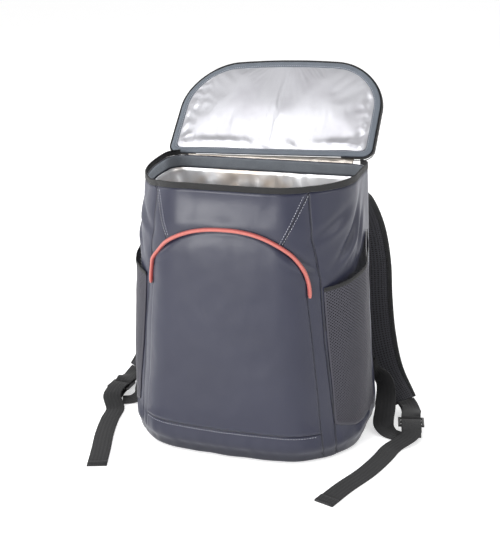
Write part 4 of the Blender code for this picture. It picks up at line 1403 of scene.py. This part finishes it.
ring = cloth_grid("lid_binding_tape", RING_STEPS, 6, (0.86, LID_TAPE), ring_place)
tidy(ring)
for face in ring.data.polygons:
    facing_out = face.normal.dot(LID.to_3x3() @ Vector((0, 0, 1)))
    break
if facing_out < 0:
    bpy.ops.object.mode_set(mode="EDIT")
    bpy.ops.mesh.flip_normals()
    bpy.ops.object.mode_set(mode="OBJECT")
thicken(ring, 0.0010)
finish_piece(ring, grey_tape, "lid_edge_tape")
line = [LID @ Vector((*point, 0.0024)) for point in lid_outline(LID_EDGE + 0.0082)]
normal = LID.to_3x3() @ Vector((0, 0, 1))
ring_stitches = copies("lid_tape_stitching", STITCH_POINTS, STITCH_FACES,
                       stitch_frames(line + line[:1], [normal] * (len(line) + 1), 0.0036, 0.0024))
finish_piece(ring_stitches, thread)

open_outline = [point for point in lid_outline() if not (abs(point[0]) < 0.118
                                                         and point[1] < 0.02)]
start = max(range(len(open_outline)),
            key=lambda k: (Vector(open_outline[k]) - Vector(open_outline[k - 1])).length)
open_outline = open_outline[start:] + open_outline[:start]


def lid_zip_place(u, v):
    """Point of the lid's zip tape, standing across the lid's edge and leaning out behind."""
    k = round(u * (len(open_outline) - 1))
    x, y = open_outline[k]
    push = 1 + 0.0016 * (1 - v) / 0.15
    turn = 0.036 * max(0.0, 1 - v * 2.5)
    x, y = x * (1 - turn), y - (y - LID_DEPTH / 2) * turn
    return LID @ Vector((x * push, y * push if y > 0.05 else y, -0.0058 + 0.0070 * v
                         + 0.0003 * wave((x, y, 3.0), 0.02, 1.0)))


lid_tape = cloth_grid("lid_zip_tape", len(open_outline) - 1, 6, (0.72, 0.008), lid_zip_place)
thicken(lid_tape, 0.0011, offset=0.0)
finish_piece(lid_tape, zip_tape, "lid_zipper")
line = [LID @ Vector((x * 1.004, y * 1.004, -0.0062)) for x, y in open_outline]
lid_coil = coil_piece("lid_zip_coil", line[4:-4], [normal] * len(line))
finish_piece(lid_coil, coil_nylon, "lid_zipper")

# %% [markdown]
# Between the rim and the lid runs the hinge, a strip of the same foil laminate, wrinkled by
# every opening. A grid follows the back wall's top up to the lid's lower edge, with folds
# along it.

# %% Hinge strip
HINGE_HALF = LID_HALF - 0.033
foot = Vector((0.0, 0.500 * BODY_DEPTH - 0.001, BODY_HEIGHT + 0.0004))
head = LID @ Vector((0.005, 0.0014, -0.0024))


def hinge_place(u, v):
    """Point of the hinge strip, wrinkled along and across."""
    x = HINGE_HALF * (2 * u - 1)
    up_wall = Vector((0.0, 0.0, (head - foot).length / 3))
    lean = Vector((0.0, math.sin(LID_LEAN), math.cos(LID_LEAN))) * up_wall.z
    hang = Vector((0.0, 0.0, -math.sin(LID_TILT) * x))
    points = (foot, foot + up_wall * 0.9, head - lean * 0.3 + hang, head + hang)
    t = v
    point = (points[0] * (1 - t) ** 3 + points[1] * 3 * t * (1 - t) ** 2
             + points[2] * 3 * t ** 2 * (1 - t) + points[3] * t ** 3)
    folds = 0.0022 * (0.4 - abs(wave((x * 0.5, v * 0.02, 1.0), 0.010, 7.0)))
    folds += 0.0010 * wave((x, v * 0.02, 2.0), 0.009, 3.0)
    folds *= math.sin(math.pi * v)
    return Vector((x, point.y - folds, point.z + folds * 0.3))


hinge = cloth_grid("hinge_foil_strip", 180, 12, (2 * HINGE_HALF, 0.016), hinge_place)
thicken(hinge, 0.0012, offset=0.0)
hinge_film = foil_laminate("metallised_hinge_film", "#b5aea6", "#75695f", 70.0, 0.6, 0.40)
finish_piece(hinge, hinge_film, "lid_hinge_strip")
print("hinge strip width:", round(2 * HINGE_HALF, 3), "m")

# %% [markdown]
# The shoulder straps are foam between two cloths, with a folded tape sewn over both edges.
# On the side that touches the wearer the cloth is an open spacer mesh. The section is swept
# along the strap: full in the middle, pinched at the binding's inner stitch line, and the
# faces of mesh, cloth and binding get their own finish.

# %% Routes of the straps and the webbing
YOKE_WALL, SEAM_GAP, SEWN_GAP = 0.003, 0.0006, 0.0004
STRAP_WIDTH, STRAP_PADDING, STRAP_STANDOFF = 0.065, 0.010, 0.080
WEBBING_WIDTH, WEBBING_WALL, TAB_WIDTH, FLOOR_GAP = 0.030, 0.0016, 0.032, 0.0002
BUCKLE_LENGTH, BUCKLE_THICKNESS, BUCKLE_BAR, BUCKLE_RIM = 0.028, 0.0036, 0.0042, 0.004
BUCKLE_PLAY, BUCKLE_LIFT = 0.001, 0.0135
# Columns: across, behind, up, face x, face y, face z, width
STRAP_ROUTE = (
    (0.300, 0.002, 0.965, 0.00, 1.00, 0.00, 0.92),
    (0.304, 0.016, 0.925, 0.00, 1.00, 0.00, 0.96),
    (0.318, 0.14, 0.882, 0.00, 0.90, 0.40, 1.00),
    (0.340, 0.52, 0.828, 0.05, 0.90, 0.50, 1.00),
    (0.378, 0.85, 0.700, 0.08, 1.00, 0.15, 1.00),
    (0.402, 1.00, 0.550, 0.10, 1.00, 0.00, 1.00),
    (0.415, 0.96, 0.400, 0.12, 1.00, -0.12, 1.00),
    (0.450, 0.72, 0.250, 0.20, 1.00, -0.35, 0.96),
    (0.520, 0.34, 0.115, 0.22, 0.75, -0.70, 0.80),
    (0.612, -0.06, 0.046, 0.10, 0.35, -0.95, 0.58),
)
STRAP_SPLAY = {   # height, and how much farther out the strap hangs there
    1: ((0.0, 0.0), (1.0, 0.0)),
    -1: ((0.046, 0.050), (0.115, 0.087), (0.25, 0.108), (0.40, 0.072), (0.55, 0.035),
         (0.75, 0.008), (1.0, 0.0)),
}
TAB_ROUTE = (
    (0.032, 0.005, 0.195, 0.65, 0.58, 0.05, 0.90),
    (0.108, 0.035, 0.148, 0.33, 0.63, -0.36, 0.94),
    (0.152, 0.180, 0.075, 0.00, 0.20, -0.98, 1.00),
    (0.172, 0.304, 0.016, 0.00, 0.00, -1.00, 1.00),
    (0.215, 0.345, 0.006, 0.00, 0.00, -1.00, 0.96),
    (0.290, 0.379, 0.0045, 0.00, 0.00, -1.00, 0.94),
)
TAB_AROUND, TAB_TOP = 0.660, 0.235
TAIL_ROUTES = {
    1: ((0.622, -0.17), (0.607, -0.30), (0.570, -0.54), (0.506, -0.82), (0.465, -1.035)),
    -1: ((0.622, -0.14), (0.607, -0.28), (0.570, -0.52), (0.520, -0.77), (0.476, -1.000)),
}
BUCKLE_PLACE = {1: (0.668, 0.165), -1: (-0.672, 0.175)}
BUCKLE_HEADING = {1: math.radians(12.0), -1: math.radians(-2.0)}


def back_wall(height):
    """How far back the body's flat back lies at a height."""
    return section(height)[2]


def strap_route(side):
    """The rows of the padded strap's table as lengths."""
    rows = []
    for across, behind, up, *face, width in STRAP_ROUTE:
        across += along(STRAP_SPLAY[side], up)
        seat = back_wall(up * BODY_HEIGHT) + YOKE_WALL + 2 * SEWN_GAP + STRAP_PADDING / 2
        rows.append((side * across * BODY_WIDTH, seat + behind * STRAP_STANDOFF,
                     up * BODY_HEIGHT, side * face[0], face[1], face[2], width * STRAP_WIDTH))
    return rows


# %% Strap finishes
def spacer_mesh(name, dark, light, pitch):
    """Knitted spacer mesh: small round holes in staggered rows, darker inside."""
    made, tree, shader = new_finish(name, light, 0.85)
    uv = add_node(tree, "ShaderNodeUVMap").outputs["UV"]
    turned = add_node(tree, "ShaderNodeMapping", Vector=uv, Rotation=(0, 0, math.radians(45)))
    height = weave_height(tree, turned.outputs["Vector"], pitch)
    level = add_node(tree, "ShaderNodeMapRange", {"interpolation_type": "SMOOTHSTEP"},
                     i0=height, i1=-0.1, i2=0.7, i3=1.0, i4=0.0)
    tone = add_node(tree, "ShaderNodeMix", {"data_type": "RGBA"}, i0=level.outputs[0],
                    i6=linear(dark), i7=linear(light))
    pits = add_node(tree, "ShaderNodeBump", Strength=0.7, Distance=0.0008,
                    Height=level.outputs[0])
    tree.links.new(tone.outputs[2], shader.inputs["Base Color"])
    tree.links.new(pits.outputs["Normal"], shader.inputs["Normal"])
    shader.inputs["Sheen Weight"].default_value = 0.08
    return made


strap_mesh = spacer_mesh("spacer_mesh_black", "#0c0c0e", "#37373d", 0.0042)
strap_cloth = woven("coated_strap_nylon", "#1e1e21", "#18181a", "#252528", 0.0011, 0.0011,
                    strength=0.3, roughness=0.6)
binding_tape = woven("binding_tape_black", "#18181a", "#121213", "#212123", 0.0009, 0.0013,
                     strength=0.4)

# %% Padded straps
BINDING_SHARE = 0.76


def strap_thickness(share):
    """Half the strap's thickness at a share of its half width."""
    share = abs(share)
    if share >= BINDING_SHARE:
        edge = (share - BINDING_SHARE) / (1 - BINDING_SHARE)
        return 0.0023 * math.sqrt(max(0.0, 1 - edge ** 5)) + 0.0001
    middle = share / BINDING_SHARE
    return 0.0015 + 0.0034 * (1 - middle ** 3.2) ** 0.7


STRAP_SHARES = [1.0, 0.97, 0.92, 0.86, 0.80, 0.765, 0.755, 0.72, 0.66, 0.56, 0.42, 0.25, 0.08]
STRAP_SHARES += [-share for share in reversed(STRAP_SHARES)]


def padded_strap(side, word):
    """One shoulder strap with its binding and its stitches."""
    rows = smooth(strap_route(side), 13)
    stations = stations_of(rows)

    def outline(i):
        width, travelled = stations[i][3], stations[i][4]
        ends = min(travelled, stations[-1][4] - travelled)
        flat = 1 - 0.45 * bell(ends, 0.010)
        over, under = [], []
        for share in STRAP_SHARES:
            soft = 0.0007 * wave((share * 0.03, travelled, side * 2.0), 0.035, 2.0)
            half = strap_thickness(share) * flat
            dent = soft if abs(share) < BINDING_SHARE else 0.0
            over.append((share * width / 2, half + dent))
            under.append((share * width / 2, -half + dent))
        return over + under[::-1][1:-1]

    strap = swept(f"padded_strap_{word}", stations, outline, 0.145)
    strap.data.materials.clear()
    for finish in (strap_cloth, strap_mesh, binding_tape):
        strap.data.materials.append(finish)
    count = len(outline(0))
    top = len(STRAP_SHARES)
    faces = [(face, face.index % count) for face in strap.data.polygons]
    for face, k in faces:
        across = STRAP_SHARES[k] if k < top else STRAP_SHARES[::-1][1:-1][min(k - top, top - 3)]
        following = STRAP_SHARES[k + 1] if k + 1 < top else across
        if max(abs(across), abs(following)) > BINDING_SHARE + 0.004 and len(face.vertices) < 5:
            face.material_index = 2
        elif k >= top - 1:
            face.material_index = 1
    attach(strap, "root")
    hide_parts(f"shoulder_strap_{word}")
    frames = []
    for way in (1, -1):
        for face_way in (1, -1):
            points, normals = [], []
            for centre, across, face, width, travelled in stations[2:-2]:
                share = BINDING_SHARE + 0.05
                offset = strap_thickness(share) + 0.0001
                points.append(centre + across * way * share * width / 2
                              + face * face_way * offset)
                normals.append(face * face_way)
            frames += stitch_frames(points, normals, 0.0040, 0.0028)
    made = copies(f"strap_stitching_{word}", STITCH_POINTS, STITCH_FACES, frames)
    finish_piece(made, dark_thread)
    return strap


for side, word in ((1, "right"), (-1, "left")):
    strap = padded_strap(side, word)
    print("strap", word, "faces:", len(strap.data.polygons))

# %% [markdown]
# Webbing is woven flat and a millimetre and a half thick. It turns round the bars of the
# ladder buckle, and each free end is folded twice and sewn so that it can't slip out. The
# band is swept with a flat section, and the fold is a second, shorter layer on top.

# %% Webbing
def flat_outline(stations, wall=WEBBING_WALL, edge=0.0004):
    """The section of a webbing with softened edges, at each station."""
    def outline(i):
        half, thick = stations[i][3] / 2, wall / 2
        over = [(half, 0.0), (half - edge * 0.4, thick * 0.8), (half - edge * 2, thick)]
        over += [(half * s, thick) for s in (0.6, 0.2, -0.2, -0.6)]
        over += [(-half + edge * 2, thick), (-half + edge * 0.4, thick * 0.8), (-half, 0.0)]
        return over + [(x, -y) for x, y in over[-2:0:-1]]
    return outline


def buckle_frame(side):
    """The buckle's matrix: x along its bars, y from the free end to the strap, z up."""
    across, forward = BUCKLE_PLACE[side]
    place = Matrix.Translation((across * BODY_WIDTH, forward * BODY_DEPTH, BUCKLE_LIFT))
    return place @ Matrix.Rotation(BUCKLE_HEADING[side], 4, "Z")


TURN_RADIUS = math.hypot(BUCKLE_BAR, BUCKLE_THICKNESS) / 2 + SEWN_GAP + WEBBING_WALL / 2


def turn_round_bar(centre, direction):
    """Points of a webbing's turn round one bar, in the buckle's frame."""
    angles = [math.radians(a) for a in (90, 60, 30, 0, -30, -60, -90)]
    return [(0.0, centre - direction * TURN_RADIUS * math.cos(a), TURN_RADIUS * math.sin(a))
            for a in angles]


def webbing_rows(side):
    """Rows of the strap's end loop, of the free end and of the tab at the bag's corner."""
    frame = buckle_frame(side)
    turn = frame.to_3x3()
    pitch = (BUCKLE_LENGTH - BUCKLE_BAR) / 2
    route = smooth(strap_route(side), 3)
    end, before = Vector(route[-1][:3]), Vector(route[-2][:3])
    run = (end - before).normalized()
    side_way = run.cross(Vector((0, 0, 1))).normalized()
    lift = side_way.cross(run).normalized()
    starts = [end + run * SEAM_GAP * 1.4 + lift * STRAP_PADDING * 0.22 * way for way in (1, -1)]
    loop = [starts[0], starts[0] + run * 0.010]
    faces = [lift, lift]
    for point in turn_round_bar(pitch, 1):
        loop.append(frame @ Vector(point))
        faces.append((turn @ Vector((0.0, point[1] - pitch, point[2]))).normalized())
    loop += [starts[1] + run * 0.010, starts[1]]
    faces += [-lift, -lift]
    loop = [(*p, *f, WEBBING_WIDTH) for p, f in zip(loop, faces)]

    under = ((-1.15, -TURN_RADIUS - BUCKLE_LIFT * 0.40), (-0.6, -TURN_RADIUS - BUCKLE_LIFT * 0.10))
    tail = [frame @ Vector((0.0, y * BUCKLE_LENGTH, z)) for y, z in under]
    faces = [Vector((0, 0, -1))] * 2
    for point in reversed(turn_round_bar(0.0, -1)):
        tail.append(frame @ Vector(point))
        faces.append((turn @ Vector((0.0, point[1], point[2]))).normalized())
    for y, z in ((-0.6, TURN_RADIUS), (-1.15, TURN_RADIUS - BUCKLE_LIFT * 0.35)):
        tail.append(frame @ Vector((0.0, y * BUCKLE_LENGTH, z)))
        faces.append(Vector((0, 0, 1)))
    rest = FLOOR_GAP + WEBBING_WALL / 2
    for across, forward in TAIL_ROUTES[side]:
        tail.append(Vector((side * across * BODY_WIDTH, forward * BODY_DEPTH, rest)))
        faces.append(Vector((0, 0, 1)))
    tail = [(*p, *f, WEBBING_WIDTH) for p, f in zip(tail, faces)]

    corner = on_wall(side * TAB_AROUND, TAB_TOP * BODY_HEIGHT, SEAM_GAP + WEBBING_WALL / 2)
    off_wall = corner - on_wall(side * TAB_AROUND, TAB_TOP * BODY_HEIGHT)
    tab = [(*corner, *off_wall.normalized(), TAB_WIDTH * 0.9)]
    for out, forward, up, *face, width in TAB_ROUTE:
        tab.append((corner[0] + side * out * BODY_DEPTH, corner[1] - forward * BODY_DEPTH,
                    up * BODY_HEIGHT, side * face[0], face[1], face[2], width * TAB_WIDTH))
    return loop, tail, tab


def webbing_piece(name, rows, steps, rest=None):
    """Sweep one webbing along its rows, kept above the floor if it lies there."""
    rows = smooth(rows, steps)
    if rest:
        rows[:, 2] = np.maximum(rows[:, 2], rest)
    stations = stations_of(rows)
    piece = swept(name, stations, flat_outline(stations), 2 * WEBBING_WIDTH)
    return piece, stations


REST = FLOOR_GAP + WEBBING_WALL / 2
for side, word in ((1, "right"), (-1, "left")):
    loop, tail, tab = webbing_rows(side)
    piece, stations = webbing_piece(f"loop_webbing_{word}", loop, 6)
    finish_piece(piece, webbing_black, f"strap_end_loop_{word}")
    piece, stations = webbing_piece(f"free_webbing_{word}", tail, 8, REST)
    finish_piece(piece, webbing_black, f"webbing_tail_{word}")
    print("free webbing", word, "length:", round(stations[-1][4], 3), "m")
    fold = [s for s in stations if s[4] > stations[-1][4] - 0.018]
    fold = [(centre + face * WEBBING_WALL * 0.98, across, face, width * 0.97, travelled)
            for centre, across, face, width, travelled in fold]
    folded = swept(f"folded_end_{word}", fold, flat_outline(fold), 2 * WEBBING_WIDTH)
    finish_piece(folded, webbing_black)
    frames = []
    for near in (2, 3):
        centre, across, face, width, travelled = fold[min(near, len(fold) - 1)]
        line = [centre + across * width * s + face * (WEBBING_WALL / 2) for s in
                np.linspace(-0.45, 0.45, 12)]
        frames += stitch_frames(line, [face] * len(line), 0.0030, 0.0022)
    made = copies(f"tail_stitching_{word}", STITCH_POINTS, STITCH_FACES, frames)
    finish_piece(made, dark_thread)
    piece, stations = webbing_piece(f"corner_webbing_{word}", tab, 10, REST)
    finish_piece(piece, webbing_black, f"anchor_webbing_{word}")

# %% [markdown]
# A ladder buckle is a small moulded frame with three bars. A plane is cut into strips, the
# two slots are deleted, and the rest is given its thickness and rounded edges, so that the
# webbing slides over them.

# %% Ladder buckles
moulded, tree, shader = new_finish("moulded_acetal_black", "#161617", 0.38)
speck = add_node(tree, "ShaderNodeTexNoise", Scale=1400.0, Detail=1.0,
                 Vector=add_node(tree, "ShaderNodeTexCoord").outputs["Object"])
grain = add_node(tree, "ShaderNodeBump", Strength=0.12, Distance=0.0001,
                 Height=speck.outputs["Fac"])
tree.links.new(grain.outputs["Normal"], shader.inputs["Normal"])
shader.inputs["IOR"].default_value = 1.48
BUCKLE_WIDE = WEBBING_WIDTH + 2 * (BUCKLE_PLAY + BUCKLE_RIM)
SLOT_HALF = WEBBING_WIDTH / 2 + BUCKLE_PLAY
SLOT = (BUCKLE_LENGTH - 3 * BUCKLE_BAR) / 2
BUCKLE_X = (-BUCKLE_WIDE / 2, -SLOT_HALF, SLOT_HALF, BUCKLE_WIDE / 2)
BUCKLE_Y = (-BUCKLE_LENGTH / 2, -BUCKLE_LENGTH / 2 + BUCKLE_BAR, -BUCKLE_BAR / 2, BUCKLE_BAR / 2,
            BUCKLE_LENGTH / 2 - BUCKLE_BAR, BUCKLE_LENGTH / 2)
for side, word in ((1, "right"), (-1, "left")):
    def buckle_place(u, v):
        return Vector((BUCKLE_X[round(u * 3)], BUCKLE_Y[round(v * 5)], 0.0))

    buckle = cloth_grid(f"ladder_lock_{word}", 3, 5, (0.04, 0.028), buckle_place)
    slots = [n // 3 in (1, 3) and n % 3 == 1 for n in range(15)]
    delete_faces(buckle, slots)
    solid = buckle.modifiers.new("thickness", "SOLIDIFY")
    solid.thickness = BUCKLE_THICKNESS
    solid.offset = 0.0
    bevel = buckle.modifiers.new("rounded", "BEVEL")
    bevel.width = 0.0011
    bevel.segments = 4
    apply_modifiers(buckle)
    bpy.ops.object.shade_smooth_by_angle(angle=math.radians(40))
    for vert in buckle.data.vertices:
        vert.co = buckle_frame(side) @ vert.co
    finish_piece(buckle, moulded, f"ladder_buckle_{word}")

# %% [markdown]
# The straps are sewn to a wide band of webbing across the top of the back. Rows of stitches
# hold the band, and a box with a cross holds each strap's end.

# %% Yoke across the back
YOKE_TOP, YOKE_HEIGHT = BODY_HEIGHT - 0.006, 0.044
yoke_half = section(BODY_HEIGHT)[0] - section(BODY_HEIGHT)[5]


def yoke_place(u, v):
    """Point of the band's outer face."""
    height = YOKE_TOP - YOKE_HEIGHT * (1 - v)
    x = yoke_half * (1 - 2 * u)
    return Vector((x, back_wall(height) + 0.0032 + 0.0003 * wave((x, height, 8.0), 0.03, 1.0),
                   height))


yoke = cloth_grid("strap_yoke_band", 90, 14, (2 * yoke_half, YOKE_HEIGHT), yoke_place)
thicken(yoke, 0.0024, soften=0.0004)
finish_piece(yoke, webbing_black, "strap_yoke")
frames = []
for v in (0.07, 0.93):
    line = [yoke_place(u, v) + Vector((0, 0.0003, 0)) for u in np.linspace(0.01, 0.99, 80)]
    frames += stitch_frames(line, [Vector((0, 1, 0))] * len(line))
for side in (1, -1):
    middle, half = side * STRAP_ROUTE[0][0] * BODY_WIDTH, 0.022
    u0, u1 = (0.5 - (middle + way * half) / (2 * yoke_half) for way in (1, -1))
    corners = [(u0, 0.22), (u1, 0.22), (u1, 0.80), (u0, 0.80), (u0, 0.22), (u1, 0.80), (u1, 0.22),
               (u0, 0.80)]
    for k in (0, 1, 2, 3, 4, 6):
        line = [yoke_place(u, v) + Vector((0, 0.0003, 0))
                for u, v in between(corners[k], corners[k + 1], 16)]
        frames += stitch_frames(line, [Vector((0, 1, 0))] * len(line))
yoke_stitches = copies("yoke_stitching", STITCH_POINTS, STITCH_FACES, frames)
finish_piece(yoke_stitches, dark_thread)

# %% [markdown]
# Last, the boxes of the frame and of the dressed bag are printed side by side, so that they
# show whether the fabric stands too proud anywhere.

# %% Sizes and finish
size = {"cad": CAD_BOX, "dressed": [list(corner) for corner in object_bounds()]}
{key: [[float(v) for v in corner] for corner in box] for key, box in size.items()}
print("boxes:", size)
